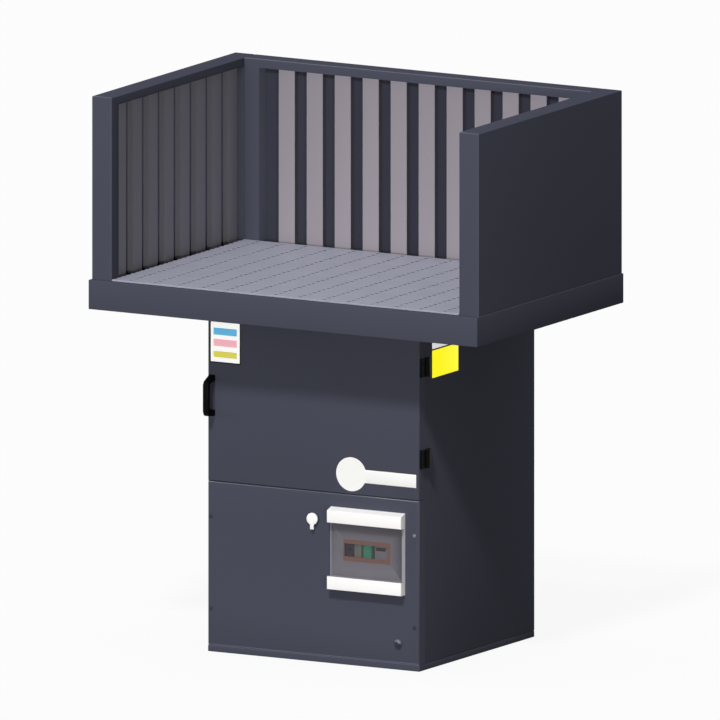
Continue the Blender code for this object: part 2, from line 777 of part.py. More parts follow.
def make_hood():
    """Stand the three walls of the hood on the tray, each with its rack of slats."""
    side_length = FRONT_REAR - HOOD_FRONT
    back_length = 2 * (HOOD_INNER - FIT)
    side_room = side_length - HOOD_FRONT_BORDER - HOOD_REAR_POST
    side_slats = slats_that_fit(side_room, SIDE_SLATS_START)
    slats_span = (side_slats - 1) * SLAT_PITCH + SLAT_WIDTH
    back_room = back_length - 2 * HOOD_BACK_BORDER
    back_slats = slats_that_fit(back_room, BACK_SLATS_START)
    walls = (
        (
            "left", side_length, HOOD_FRONT_BORDER, HOOD_REAR_POST,
            HOOD_FRONT_BORDER + SIDE_SLATS_START, side_slats,
            (-HOOD_INNER, HOOD_FRONT, HOOD_BOTTOM), math.pi / 2,
        ),
        (
            "right", side_length, HOOD_REAR_POST, HOOD_FRONT_BORDER,
            side_length - HOOD_FRONT_BORDER - SIDE_SLATS_START - slats_span, side_slats,
            (HOOD_INNER, FRONT_REAR, HOOD_BOTTOM), -math.pi / 2,
        ),
        (
            "back", back_length, HOOD_BACK_BORDER, HOOD_BACK_BORDER,
            HOOD_BACK_BORDER + BACK_SLATS_START, back_slats,
            (FIT - HOOD_INNER, HOOD_BACK_INNER, HOOD_BOTTOM), 0.0,
        ),
    )
    for side, length, start, end, first, count, place, turn in walls:
        wall, helpers = hood_wall(side + "_hood_wall", length, start, end)
        rack = slat_rack(side + "_slat_rack", start + FIT, length - end - FIT, first, count)
        for piece in (wall, rack, *helpers):
            piece.location = place
            piece.rotation_euler = (0.0, 0.0, turn)


def hinge_leaf(name, ends, own_knuckles, other_knuckles, pivot):
    """Make one leaf of a hinge: a plate with its knuckles, bored for the pin."""
    x, y, z = pivot
    low, high = sorted(ends)
    bm = bmesh.new()
    block(
        bm,
        (CABINET_SIDE + FIT, low, z - HINGE_HEIGHT / 2),
        (CABINET_SIDE + FIT + HINGE_LEAF_SHEET, high, z + HINGE_HEIGHT / 2),
    )
    leaf = finish(name, bm, "black_plastic", pivot, True)
    third = HINGE_HEIGHT / 3
    bm = bmesh.new()
    for level in other_knuckles:
        cylinder(
            bm, (x, y, z + level * third), HINGE_KNUCKLE_RADIUS + FIT, third + FIT, "Z",
            HINGE_SIDES,
        )
    cut(leaf, name + "_relief", bm)
    bm = bmesh.new()
    for level in own_knuckles:
        cylinder(
            bm, (x, y, z + level * third), HINGE_KNUCKLE_RADIUS, third - FIT, "Z",
            HINGE_SIDES,
        )
    join(leaf, name + "_knuckle", bm)
    bm = bmesh.new()
    cylinder(
        bm, pivot, HINGE_PIN_RADIUS + FIT, HINGE_HEIGHT + 2 * CUT, "Z", HINGE_SIDES,
    )
    cut(leaf, name + "_bore", bm)


def make_door():
    """Make the door with its keeper, handle and two hinges, and the magnet catch."""
    x = CABINET_SIDE + FIT + HINGE_KNUCKLE_RADIUS
    y = PAN_REAR + HINGE_FROM_PAN_REAR
    bm = bmesh.new()
    pan(
        bm,
        (-CABINET_SIDE, CABINET_FRONT, DOOR_BOTTOM),
        (CABINET_SIDE, PAN_REAR, DOOR_TOP),
        (0.0, 1.0, 0.0),
        PAN_SHEET,
        PAN_ROUNDING,
    )
    door = finish("filter_door", bm, "grey_paint", (x, y, DOOR_BOTTOM))

    catch_left = CATCH_FROM_SIDE - CABINET_SIDE
    catch_front = PAN_REAR + FIT + SIDE_SHEET + FIT
    bm = bmesh.new()
    block(
        bm,
        (catch_left, catch_front, DECK_TOP + FIT),
        (catch_left + CATCH_WIDTH, catch_front + CATCH_DEPTH, DECK_TOP + FIT + CATCH_HEIGHT),
    )
    finish("door_catch", bm, "black_plastic")
    bm = bmesh.new()
    block(
        bm,
        (
            catch_left + KEEPER_INSET,
            CABINET_FRONT + PAN_SHEET / 2,
            DOOR_BOTTOM + PAN_SHEET + KEEPER_INSET,
        ),
        (
            catch_left + CATCH_WIDTH - KEEPER_INSET,
            catch_front - FIT,
            DOOR_BOTTOM + CATCH_HEIGHT - KEEPER_INSET,
        ),
    )
    join(door, "door_keeper", bm)

    left = HANDLE_FROM_EDGE - CABINET_SIDE
    bottom = DOOR_BOTTOM + HANDLE_FROM_DOOR_BOTTOM
    bm = bmesh.new()
    outline = [
        (
            CABINET_FRONT - FIT - reach_share * HANDLE_REACH,
            bottom + height_share * HANDLE_HEIGHT,
        )
        for reach_share, height_share in HANDLE_OUTLINE_SHARES
    ]
    prism(bm, outline, "X", left, left + HANDLE_WIDTH)
    ends = [
        edge for edge in bm.edges
        if max(vert.co.y for vert in edge.verts) < CABINET_FRONT - HANDLE_ROUNDING
    ]
    bmesh.ops.bevel(
        bm, geom=ends, offset=HANDLE_ROUNDING, segments=1, profile=0.5, affect="EDGES",
    )
    finish("door_handle", bm, "black_plastic", (left, CABINET_FRONT, bottom), True)

    for level, z in (
        ("upper", DOOR_TOP - UPPER_HINGE_FROM_TOP),
        ("lower", DOOR_BOTTOM + LOWER_HINGE_FROM_BOTTOM),
    ):
        pivot = (x, y, z)
        hinge_leaf(
            level + "_hinge_door_leaf", (y - HINGE_DOOR_LEAF, y), (0,), (-1, 1), pivot,
        )
        hinge_leaf(
            level + "_hinge_body_leaf", (y, y + HINGE_BODY_LEAF), (-1, 1), (0,), pivot,
        )
        bm = bmesh.new()
        cylinder(bm, pivot, HINGE_PIN_RADIUS, HINGE_HEIGHT, "Z", HINGE_SIDES)
        finish(level + "_hinge_pin", bm, "dark_steel", pivot, True)


def screw_places():
    """Return the places of the four cover screws, as X and Z."""
    return [
        (x, z)
        for z in (COVER_TOP - UPPER_SCREWS_FROM_TOP, COVER_BOTTOM + LOWER_SCREWS_FROM_BOTTOM)
        for x in (
            LEFT_SCREWS_FROM_EDGE - CABINET_SIDE,
            CABINET_SIDE - RIGHT_SCREWS_FROM_EDGE,
        )
    ]


def make_cover():
    """Make the service cover with its openings, its screws and its lock."""
    bm = bmesh.new()
    pan(
        bm,
        (-CABINET_SIDE, CABINET_FRONT, COVER_BOTTOM),
        (CABINET_SIDE, PAN_REAR, COVER_TOP),
        (0.0, 1.0, 0.0),
        PAN_SHEET,
        PAN_ROUNDING,
    )
    cover = finish("service_cover", bm, "grey_paint")
    lock = (CABINET_SIDE - LOCK_FROM_EDGE, COVER_BOTTOM + LOCK_FROM_COVER)
    bm = bmesh.new()
    for (x, z), radius, sides in (
        *((place, SCREW_SHANK_RADIUS + FIT, SCREW_SIDES) for place in screw_places()),
        (lock, LOCK_SPINDLE_RADIUS + FIT, LOCK_SIDES),
        (SWITCH_PLACE, SWITCH_BARREL_RADIUS + FIT, SWITCH_SIDES),
    ):
        cylinder(bm, (x, CABINET_FRONT, z), radius, 2 * CUT, "Y", sides)
    block(
        bm,
        (
            BOX_LEFT + BOX_BODY_INSET - FIT,
            CABINET_FRONT - CUT,
            BOX_BOTTOM + BOX_BODY_INSET - FIT,
        ),
        (
            BOX_LEFT + BOX_WIDTH - BOX_BODY_INSET + FIT,
            CABINET_FRONT + CUT,
            BOX_BOTTOM + BOX_HEIGHT - BOX_BODY_INSET + FIT,
        ),
    )
    cut(cover, "cover_openings", bm)

    names = ("upper_left", "upper_right", "lower_left", "lower_right")
    shank = PAN_DEPTH + SIDE_SHEET + SCREW_PAST_RETURN
    outline = [
        (0.0, -shank),
        (SCREW_SHANK_RADIUS, -shank),
        (SCREW_SHANK_RADIUS, FIT),
        (SCREW_HEAD_RADIUS, FIT),
        (SCREW_HEAD_RADIUS, FIT + SCREW_HEAD_HEIGHT / 2),
        (SCREW_HEAD_RADIUS / 2, FIT + SCREW_HEAD_HEIGHT),
        (0.0, FIT + SCREW_HEAD_HEIGHT),
    ]
    for name, (x, z) in zip(names, screw_places()):
        bm = bmesh.new()
        turned(bm, outline, SCREW_SIDES, (0.0, 0.0, 0.0), False)
        screw = finish(name + "_cover_screw", bm, "dark_steel", smooth=True)
        screw.location = (x, CABINET_FRONT, z)
        screw.rotation_euler = (math.pi / 2, 0.0, 0.0)

    x, z = lock
    cam_front = PAN_REAR + FIT + SIDE_SHEET + FIT
    spindle_end = cam_front + LOCK_CAM_SHEET + LOCK_CAM_SHEET - CABINET_FRONT
    bm = bmesh.new()
    outline = [
        (0.0, -spindle_end),
        (LOCK_SPINDLE_RADIUS, -spindle_end),
        (LOCK_SPINDLE_RADIUS, FIT),
        (LOCK_RADIUS, FIT),
        (LOCK_RADIUS, FIT + LOCK_REACH / 2),
        (LOCK_RADIUS - LOCK_REACH / 3, LOCK_REACH),
        (0.0, LOCK_REACH),
    ]
    turned(bm, outline, LOCK_SIDES, (0.0, 0.0, 0.0), False)
    bmesh.ops.rotate(
        bm, verts=bm.verts, cent=(0.0, 0.0, 0.0), matrix=Matrix.Rotation(math.pi / 2, 3, "X"),
    )
    bmesh.ops.translate(bm, verts=bm.verts, vec=(x, CABINET_FRONT, z))
    head = finish("cover_lock", bm, "grey_paint", (x, CABINET_FRONT, z), True)
    bm = bmesh.new()
    block(
        bm,
        (x - LOCK_CAM_WIDTH / 2, cam_front, z - LOCK_CAM_WIDTH / 2),
        (x + LOCK_CAM_LENGTH, cam_front + LOCK_CAM_SHEET, z + LOCK_CAM_WIDTH / 2),
    )
    join(head, "lock_cam", bm)
    bm = bmesh.new()
    block(
        bm,
        (x - LOCK_RADIUS / 2, CABINET_FRONT - LOCK_REACH - CUT, z - LOCK_RADIUS / 8),
        (x + LOCK_RADIUS / 2, CABINET_FRONT - LOCK_REACH * 2 / 3, z + LOCK_RADIUS / 8),
    )
    cut(head, "lock_slot", bm)


def make_switch():
    """Make the selector switch: a bezel with its barrel, and the lever that turns in it."""
    x, z = SWITCH_PLACE
    bore = SWITCH_STEM_RADIUS + FIT
    outline = [
        (bore, FIT + SWITCH_REACH),
        (SWITCH_RADIUS - SWITCH_REACH / 4, FIT + SWITCH_REACH),
        (SWITCH_RADIUS, FIT + SWITCH_REACH * 3 / 4),
        (SWITCH_RADIUS, FIT),
        (SWITCH_BARREL_RADIUS, FIT),
        (SWITCH_BARREL_RADIUS, -SWITCH_BARREL_DEPTH),
        (bore, -SWITCH_BARREL_DEPTH),
    ]
    bm = bmesh.new()
    turned(bm, outline, SWITCH_SIDES, (0.0, 0.0, 0.0), True)
    bezel = finish("switch_bezel", bm, "grey_paint", smooth=True)
    face = FIT + SWITCH_REACH + FIT
    outline = [
        (0.0, -SWITCH_STEM_DEPTH),
        (SWITCH_STEM_RADIUS, -SWITCH_STEM_DEPTH),
        (SWITCH_STEM_RADIUS, face),
        (SWITCH_HUB_RADIUS, face),
        (SWITCH_HUB_RADIUS, face + SWITCH_HUB_HEIGHT),
        (0.0, face + SWITCH_HUB_HEIGHT),
    ]
    bm = bmesh.new()
    turned(bm, outline, SWITCH_SIDES, (0.0, 0.0, 0.0), False)
    lever = finish("switch_lever", bm, "white_plastic", smooth=True)
    bm = bmesh.new()
    half = LEVER_WIDTH / 2
    outline = [
        (-half, half),
        (-half, half - LEVER_LENGTH),
        (-half / 2, -LEVER_LENGTH),
        (half / 2, -LEVER_LENGTH),
        (half, half - LEVER_LENGTH),
        (half, half),
    ]
    prism(bm, outline, "Z", face + FIT, face + LEVER_HEIGHT)
    grip = helper("lever_grip", bm, lever)
    combine(lever, grip, "UNION")
    for piece in (bezel, lever, grip):
        piece.location = (x, CABINET_FRONT, z)
        piece.rotation_euler = (math.pi / 2, 0.0, 0.0)


def make_power_box():
    """Make the power box: body with its rail, proud frame, smoked door and switchgear."""
    left, right = BOX_LEFT, BOX_LEFT + BOX_WIDTH
    bottom = BOX_BOTTOM
    top = bottom + BOX_HEIGHT
    body_rear = CABINET_FRONT + BOX_BODY_DEPTH
    mask_bottom = bottom + MASK_FROM_BOTTOM
    mask_top = mask_bottom + MASK_HEIGHT
    middle = (mask_bottom + mask_top) / 2

    bm = bmesh.new()
    pan(
        bm,
        (left + BOX_BODY_INSET, CABINET_FRONT, bottom + BOX_BODY_INSET),
        (right - BOX_BODY_INSET, body_rear, top - BOX_BODY_INSET),
        (0.0, -1.0, 0.0),
        BOX_WALL,
    )
    body = finish("power_box", bm, "grey_plastic")
    bm = bmesh.new()
    block(
        bm,
        (
            left + BOX_BODY_INSET + BOX_WALL / 2,
            body_rear - BOX_WALL - RAIL_DEPTH,
            middle - RAIL_HEIGHT / 2,
        ),
        (
            right - BOX_BODY_INSET - BOX_WALL / 2,
            body_rear - BOX_WALL / 2,
            middle + RAIL_HEIGHT / 2,
        ),
    )
    join(body, "box_rail", bm)

    back = CABINET_FRONT - FIT
    plate = back - BOX_FRAME_SHEET
    front = CABINET_FRONT - BOX_BAR_REACH
    bm = bmesh.new()
    outline = [
        (back, bottom), (front, bottom), (front, bottom + BOX_LOWER_BAR),
        (plate, bottom + BOX_LOWER_BAR), (plate, top - BOX_UPPER_BAR),
        (front, top - BOX_UPPER_BAR), (front, top - BOX_SLOPE), (back, top),
    ]
    prism(bm, outline, "X", left, right)
    frame = finish("power_box_frame", bm, "white_plastic")
    bm = bmesh.new()
    for low, high in (
        (left, left + BOX_LEFT_RIM),
        (right - BOX_RIGHT_RIM, right),
    ):
        block(
            bm,
            (low, CABINET_FRONT - BOX_RIM_REACH, bottom + BOX_LOWER_BAR / 2),
            (high, back, top - BOX_UPPER_BAR / 2),
        )
    join(frame, "frame_rims", bm)
    bm = bmesh.new()
    block(
        bm,
        (left + MASK_FROM_LEFT, plate - CUT, mask_bottom),
        (left + MASK_FROM_LEFT + MASK_WIDTH, back + CUT, mask_top),
    )
    cut(frame, "mask_window", bm)

    half = BOX_DOOR_SHEET / 2
    pivot = (right - BOX_RIGHT_RIM - BOX_DOOR_GAP - half, plate - FIT - half)
    bm = bmesh.new()
    outline = [
        *arc(pivot, half, -math.pi / 2, math.pi / 2, 6),
        (left + BOX_LEFT_RIM + FIT, pivot[1] + half),
        (left + BOX_LEFT_RIM + FIT, pivot[1] - half),
    ]
    door_bottom = bottom + BOX_LOWER_BAR + FIT
    prism(bm, outline, "Z", door_bottom, top - BOX_UPPER_BAR - FIT)
    finish("power_box_door", bm, "smoked_plastic", (*pivot, door_bottom), True)

    nose = CABINET_FRONT + MODULE_SETBACK
    rear = body_rear - BOX_WALL - RAIL_DEPTH - FIT
    outline = [
        (rear, middle - MODULE_HEIGHT / 2),
        (nose + NOSE_DEPTH, middle - MODULE_HEIGHT / 2),
        (nose + NOSE_DEPTH, middle - NOSE_HEIGHT / 2),
        (nose, middle - NOSE_HEIGHT / 2),
        (nose, middle + NOSE_HEIGHT / 2),
        (nose + NOSE_DEPTH, middle + NOSE_HEIGHT / 2),
        (nose + NOSE_DEPTH, middle + MODULE_HEIGHT / 2),
        (rear, middle + MODULE_HEIGHT / 2),
    ]
    window = left + MASK_FROM_LEFT
    for name, start, width, look in (
        ("breaker", BREAKER_START, BREAKER_WIDTH, "grey_plastic"),
        ("left_module", LEFT_MODULE_START, LEFT_MODULE_WIDTH, "green_plastic"),
        ("right_module", RIGHT_MODULE_START, RIGHT_MODULE_WIDTH, "green_plastic"),
        ("wide_module", WIDE_MODULE_START, WIDE_MODULE_WIDTH, "grey_plastic"),
    ):
        bm = bmesh.new()
        prism(bm, outline, "X", window + start, window + start + width)
        finish(name, bm, look)

    hub = (window + BREAKER_START + BREAKER_WIDTH / 2, nose + TOGGLE_DEPTH, middle)
    slot = TOGGLE_WIDTH / 2 + FIT
    bm = bmesh.new()
    block(
        bm,
        (hub[0] - slot, nose - CUT, middle - TOGGLE_DEPTH),
        (
            hub[0] + slot,
            hub[1] + TOGGLE_HUB_RADIUS + FIT,
            middle + TOGGLE_DEPTH,
        ),
    )
    cut(bpy.data.objects["breaker"], "breaker_slot", bm)
    tilt = math.pi - TOGGLE_TILT
    tip = (math.cos(tilt) * TOGGLE_LENGTH, math.sin(tilt) * TOGGLE_LENGTH)
    aside = (-math.sin(tilt) * TOGGLE_TIP, math.cos(tilt) * TOGGLE_TIP)
    bm = bmesh.new()
    outline = [
        *arc((hub[1], hub[2]), TOGGLE_HUB_RADIUS, tilt - math.pi * 3 / 2, tilt - math.pi / 2, 6),
        (hub[1] + tip[0] - aside[0], hub[2] + tip[1] - aside[1]),
        (hub[1] + tip[0] + aside[0], hub[2] + tip[1] + aside[1]),
    ]
    prism(bm, outline, "X", hub[0] - TOGGLE_WIDTH / 2, hub[0] + TOGGLE_WIDTH / 2)
    finish("breaker_toggle", bm, "black_plastic", hub, True)


def make_filter():
    """Make the pleated cartridge, its two caps and the rod that clamps it to the deck."""
    bottom = DECK_TOP + FIT
    paper_bottom = bottom + CAP_BASE + FIT
    paper_top = paper_bottom + FILTER_LENGTH
    folds = 2 * PLEATS
    outer, inner = [], []
    for index in range(folds):
        turn = math.tau * index / folds
        if index % 2:
            radii = (FILTER_RADIUS, FILTER_RADIUS - PLEAT_FOLD)
        else:
            radii = (FILTER_BORE_RADIUS + PLEAT_FOLD, FILTER_BORE_RADIUS)
        for loop, radius in zip((outer, inner), radii):
            loop.append((radius * math.cos(turn), FAN_Y + radius * math.sin(turn)))
    bm = bmesh.new()
    rings = [
        [bm.verts.new((x, y, paper_bottom)) for x, y in loop] for loop in (outer, inner)
    ]
    faces = [
        bm.faces.new(
            (
                rings[0][index - 1], rings[0][index],
                rings[1][index], rings[1][index - 1],
            )
        )
        for index in range(folds)
    ]
    made = bmesh.ops.extrude_face_region(bm, geom=faces)
    moved = [item for item in made["geom"] if isinstance(item, bmesh.types.BMVert)]
    bmesh.ops.translate(bm, verts=moved, vec=(0.0, 0.0, FILTER_LENGTH))
    finish("filter_cartridge", bm, "filter_paper", (0.0, FAN_Y, paper_bottom))

    rim = (FILTER_RADIUS + FIT) / math.cos(math.pi / CAP_SIDES)
    outline = [
        (CAP_BORE_RADIUS, 0.0),
        (rim + CAP_RIM, 0.0),
        (rim + CAP_RIM, CAP_HEIGHT),
        (rim, CAP_HEIGHT),
        (rim, CAP_BASE),
        (FILTER_BORE_RADIUS - FIT, CAP_BASE),
        (FILTER_BORE_RADIUS - FIT, CAP_HEIGHT),
        (CAP_BORE_RADIUS, CAP_HEIGHT),
    ]
    bm = bmesh.new()
    turned(bm, outline, CAP_SIDES, (0.0, FAN_Y, bottom), True)
    finish("filter_bottom_cap", bm, "zinc_steel", (0.0, FAN_Y, bottom), True)

    lid = paper_top + FIT + CAP_BASE
    hole = CLAMP_ROD_RADIUS + FIT
    outline = [
        (hole, 0.0),
        (hole, -CAP_BASE),
        (rim, -CAP_BASE),
        (rim, -CAP_HEIGHT),
        (rim + CAP_RIM, -CAP_HEIGHT),
        (rim + CAP_RIM, 0.0),
    ]
    bm = bmesh.new()
    turned(bm, outline, CAP_SIDES, (0.0, FAN_Y, lid), True)
    finish("filter_top_cap", bm, "zinc_steel", (0.0, FAN_Y, lid), True)

    rod_end = DECK_TOP - DECK_BOSS_HEIGHT
    seat = lid + FIT
    knob_bottom = seat + CLAMP_COLLAR_HEIGHT
    outline = [
        (0.0, rod_end),
        (CLAMP_ROD_RADIUS, rod_end),
        (CLAMP_ROD_RADIUS, seat),
        (CLAMP_COLLAR_RADIUS, seat),
        (CLAMP_COLLAR_RADIUS, knob_bottom + CLAMP_KNOB_HEIGHT / 2),
        (0.0, knob_bottom + CLAMP_KNOB_HEIGHT / 2),
    ]
    bm = bmesh.new()
    turned(bm, outline, SCREW_SIDES, (0.0, FAN_Y, 0.0), False)
    rod = finish("filter_clamp_knob", bm, "black_plastic", (0.0, FAN_Y, seat), True)
    bm = bmesh.new()
    steps = 6 * CLAMP_LOBES
    outline = []
    for index in range(steps):
        turn = math.tau * index / steps
        wave = (1 - math.cos(CLAMP_LOBES * turn)) / 2
        radius = CLAMP_KNOB_RADIUS - CLAMP_KNOB_DIP * wave
        outline.append((radius * math.cos(turn), FAN_Y + radius * math.sin(turn)))
    prism(bm, outline, "Z", knob_bottom, knob_bottom + CLAMP_KNOB_HEIGHT)
    join(rod, "star_knob", bm)


def make_fan():
    """Make the inlet, the impeller with its curved blades, the motor and its stand."""
    centre = (0.0, FAN_Y, 0.0)
    flange_top = DECK_TOP - DECK_SHEET - FIT
    throat_end = flange_top - INLET_DEPTH
    bend = (INLET_THROAT_RADIUS + INLET_BEND, flange_top - INLET_BEND)
    outline = [
        (INLET_FLANGE_RADIUS, flange_top),
        *arc(bend, INLET_BEND, math.pi / 2, math.pi, 3),
        (INLET_THROAT_RADIUS, throat_end),
        (INLET_THROAT_RADIUS + INLET_SHEET, throat_end),
        *arc(bend, INLET_BEND - INLET_SHEET, math.pi, math.pi / 2, 3),
        (INLET_FLANGE_RADIUS, flange_top - INLET_SHEET),
    ]
    bm = bmesh.new()
    turned(bm, outline, FAN_SIDES, centre, True)
    finish("inlet_ring", bm, "zinc_steel", (0.0, FAN_Y, flange_top), True)

    eye = INLET_THROAT_RADIUS + INLET_SHEET + FAN_GAP
    top = throat_end + INLET_LAP
    bottom = top - FAN_HEIGHT
    hub_top = bottom + FAN_HUB_HEIGHT
    bore = SHAFT_RADIUS + FIT
    outline = [
        (bore, bottom),
        (FAN_RADIUS, bottom),
        (FAN_RADIUS, bottom + FAN_SHEET),
        (FAN_HUB_RADIUS, bottom + FAN_SHEET),
        (FAN_HUB_RADIUS, hub_top),
        (bore, hub_top),
    ]
    bm = bmesh.new()
    turned(bm, outline, FAN_SIDES, centre, True)
    fan = finish("impeller", bm, "fan_alloy", (0.0, FAN_Y, bottom), True)
    bm = bmesh.new()
    outline = [
        (eye, top), (eye, top - FAN_SHEET), (FAN_RADIUS, top - FAN_SHEET),
        (FAN_RADIUS, top),
    ]
    turned(bm, outline, FAN_SIDES, centre, True)
    shroud = helper("impeller_shroud", bm, fan)
    bm = bmesh.new()
    for blade in range(FAN_BLADES):
        root = math.tau * blade / FAN_BLADES
        sides = ([], [])
        for step in range(BLADE_STEPS + 1):
            share = step / BLADE_STEPS
            radius = eye + (FAN_RADIUS - BLADE_SHEET - eye) * share
            turn = root - BLADE_LAG * share
            for offset, side in zip((-1, 1), sides):
                swing = turn + offset * BLADE_SHEET / 2 / radius
                side.append((radius * math.cos(swing), FAN_Y + radius * math.sin(swing)))
        outline = [*sides[0], *reversed(sides[1])]
        prism(bm, outline, "Z", bottom + FAN_SHEET / 2, top - FAN_SHEET / 2)
    blades = helper("impeller_blades", bm, fan)
    combine(fan, blades, "UNION")
    combine(fan, shroud, "UNION")

    plate_top = bottom - STAND_DROP
    flange = plate_top - STAND_SHEET - FIT
    body_top = flange - MOTOR_FLANGE_SHEET
    body_end = BASE_SHEET + MOTOR_FROM_BASE + MOTOR_COWL_LENGTH
    outline = [
        (0.0, body_end - MOTOR_COWL_LENGTH),
        (MOTOR_COWL_RADIUS, body_end - MOTOR_COWL_LENGTH),
        (MOTOR_COWL_RADIUS, body_end),
        (MOTOR_RADIUS, body_end),
        (MOTOR_RADIUS, body_top),
        (MOTOR_FLANGE_RADIUS, body_top),
        (MOTOR_FLANGE_RADIUS, flange),
        (MOTOR_SPIGOT_RADIUS, flange),
        (MOTOR_SPIGOT_RADIUS, plate_top),
        (SHAFT_RADIUS, plate_top),
        (SHAFT_RADIUS, hub_top),
        (0.0, hub_top),
    ]
    bm = bmesh.new()
    turned(bm, outline, FAN_SIDES, centre, False)
    finish("motor", bm, "motor_blue", (0.0, FAN_Y, flange), True)

    leg = STAND_WIDTH / 2
    floor = BASE_SHEET + FIT
    outline = [
        (-leg - STAND_FOOT, floor), (STAND_SHEET - leg, floor),
        (STAND_SHEET - leg, plate_top - STAND_SHEET),
        (leg - STAND_SHEET, plate_top - STAND_SHEET), (leg - STAND_SHEET, floor),
        (leg + STAND_FOOT, floor), (leg + STAND_FOOT, floor + STAND_SHEET),
        (leg, floor + STAND_SHEET), (leg, plate_top), (-leg, plate_top),
        (-leg, floor + STAND_SHEET), (-leg - STAND_FOOT, floor + STAND_SHEET),
    ]
    bm = bmesh.new()
    prism(bm, outline, "Y", FAN_Y - STAND_DEPTH / 2, FAN_Y + STAND_DEPTH / 2)
    stand = finish("motor_stand", bm, "dark_steel")
    bm = bmesh.new()
    cylinder(
        bm, (0.0, FAN_Y, plate_top), MOTOR_SPIGOT_RADIUS + FIT, 2 * STAND_SHEET + 2 * CUT,
        "Z", FAN_SIDES,
    )
    cut(stand, "stand_hole", bm)


for old in list(bpy.data.objects):
    bpy.data.objects.remove(old)

MATERIALS = make_materials()
make_cabinet()
make_tray()
make_planks()
make_hood()
make_door()
make_cover()
make_switch()
make_power_box()
make_filter()
make_fan()
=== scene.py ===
"""Dresses the downdraft bench: rounded sheet metal, notched planks, folded slats,
fittings, plates, paint and studio light."""

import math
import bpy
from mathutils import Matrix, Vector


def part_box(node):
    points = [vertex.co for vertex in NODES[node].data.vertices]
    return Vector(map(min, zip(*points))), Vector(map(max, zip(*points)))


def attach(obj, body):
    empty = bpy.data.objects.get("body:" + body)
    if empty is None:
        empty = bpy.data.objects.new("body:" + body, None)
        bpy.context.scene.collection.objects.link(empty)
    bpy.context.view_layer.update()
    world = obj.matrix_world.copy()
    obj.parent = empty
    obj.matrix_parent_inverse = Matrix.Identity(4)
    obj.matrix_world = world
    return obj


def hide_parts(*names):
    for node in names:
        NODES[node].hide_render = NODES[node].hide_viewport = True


bl_info = {
    "name": "Downdraft Bench",
    "version": (1, 0, 0),
    "blender": (4, 5, 0),
    "location": "View3D > Sidebar > Bench",
    "description": "Dresses the frame of a downdraft bench with pieces and finishes",
    "category": "Object",
}

import bmesh
import bpy
from mathutils import Matrix, Vector

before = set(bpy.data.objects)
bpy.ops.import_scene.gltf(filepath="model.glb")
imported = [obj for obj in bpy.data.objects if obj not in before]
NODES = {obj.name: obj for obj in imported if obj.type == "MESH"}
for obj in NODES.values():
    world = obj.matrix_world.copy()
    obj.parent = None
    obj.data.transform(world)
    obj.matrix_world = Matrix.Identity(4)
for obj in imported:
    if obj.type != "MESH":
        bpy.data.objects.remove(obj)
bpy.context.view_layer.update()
BENCH = "bench"
WHITE = (1.0, 1.0, 1.0)
HOOD_SIDES = ("left_hood_wall", "right_hood_wall")
HOOD_WALLS = (*HOOD_SIDES, "back_hood_wall")
PLANKS = 15

# Vertices nearer than MERGE are one, and an edge nearer than ON_LEVEL lies on a level.
MERGE = 0.00002
ON_LEVEL = 0.00008
# A face nearer than SKIN to a side of its node's box belongs to the outside.
SKIN = 0.001
# A face looks along an axis when its normal's share along it is above FACING.
FACING = 0.9
# Turns between faces, in radians: joined when flatter, shaded as a corner when
# sharper, and taken for a square fold when sharper still.
FLAT = math.radians(0.6)
SHARP = math.radians(40.0)
SQUARE = 1.0

TURNS = {
    "X": Matrix.Rotation(math.pi / 2, 4, "Y"),
    "Y": Matrix.Rotation(math.pi / 2, 4, "X"),
    "Z": Matrix.Identity(4),
}


def linear(*steps):
    """Turn display colour steps of 255 into linear values."""
    shares = [step / 255 for step in steps]
    return tuple(
        share / 12.92 if share <= 0.04045 else ((share + 0.055) / 1.055) ** 2.4
        for share in shares
    )


def colour_property(name, description, *steps):
    """Make a colour property from display colour steps."""
    return bpy.props.FloatVectorProperty(
        name=name, description=description, subtype="COLOR", size=3, min=0.0, max=1.0,
        default=linear(*steps),
    )


def length_property(name, description, default):
    """Make a length property in metres."""
    return bpy.props.FloatProperty(
        name=name, description=description, default=default, min=0.0, unit="LENGTH",
        precision=5,
    )


def angle_property(name, description, degrees):
    """Make an angle property from degrees."""
    return bpy.props.FloatProperty(
        name=name, description=description, default=math.radians(degrees), subtype="ANGLE",
    )


def power_property(name, description, default):
    """Make a property for the strength of a light."""
    return bpy.props.FloatProperty(
        name=name, description=description, default=default, min=0.0,
    )


class BenchSizes(bpy.types.PropertyGroup):
    """Sizes of the details that the pieces get."""

    sheet_radius: length_property("Sheet radius", "Rounding of folded sheet edges", 0.0020)
    tray_radius: length_property("Tray radius", "Rounding of the tray's edges", 0.0009)
    pan_radius: length_property("Pan radius", "Rounding in the CAD of door and cover", 0.0012)
    hem_radius: length_property("Hem radius", "Wider rounding of door and cover", 0.0026)
    slat_radius: length_property("Slat radius", "Rounding of the slats' folds", 0.0009)
    notch_radius: length_property("Notch radius", "Half the length of a plank's notch", 0.0058)
    notch_share: bpy.props.FloatProperty(
        name="Notch share", description="Depth of a notch against its radius", default=0.68,
        min=0.1, max=1.0,
    )
    notch_pitch: length_property("Notch pitch", "Distance from notch to notch", 0.0211)
    notch_start: length_property("Notch start", "First notch from the tray's front", 0.0051)
    notch_count: bpy.props.IntProperty(
        name="Notches", description="Notches in each row", default=30, min=1,
    )
    plank_setback: length_property("Plank setback", "Tray rim in front of the planks", 0.0110)
    plank_sheet: length_property("Plank sheet", "Thickness of the planks", 0.0033)
    handle_radius: length_property("Handle radius", "Rounding of the pull handle", 0.00105)
    plastic_radius: length_property("Plastic radius", "Rounding of moulded edges", 0.0012)
    flap_radius: length_property("Flap radius", "Rounding of flap and lock", 0.0005)
    module_radius: length_property("Module radius", "Rounding of rail modules", 0.0004)
    plate_sheet: length_property("Plate sheet", "Thickness of stuck-on plates", 0.0004)


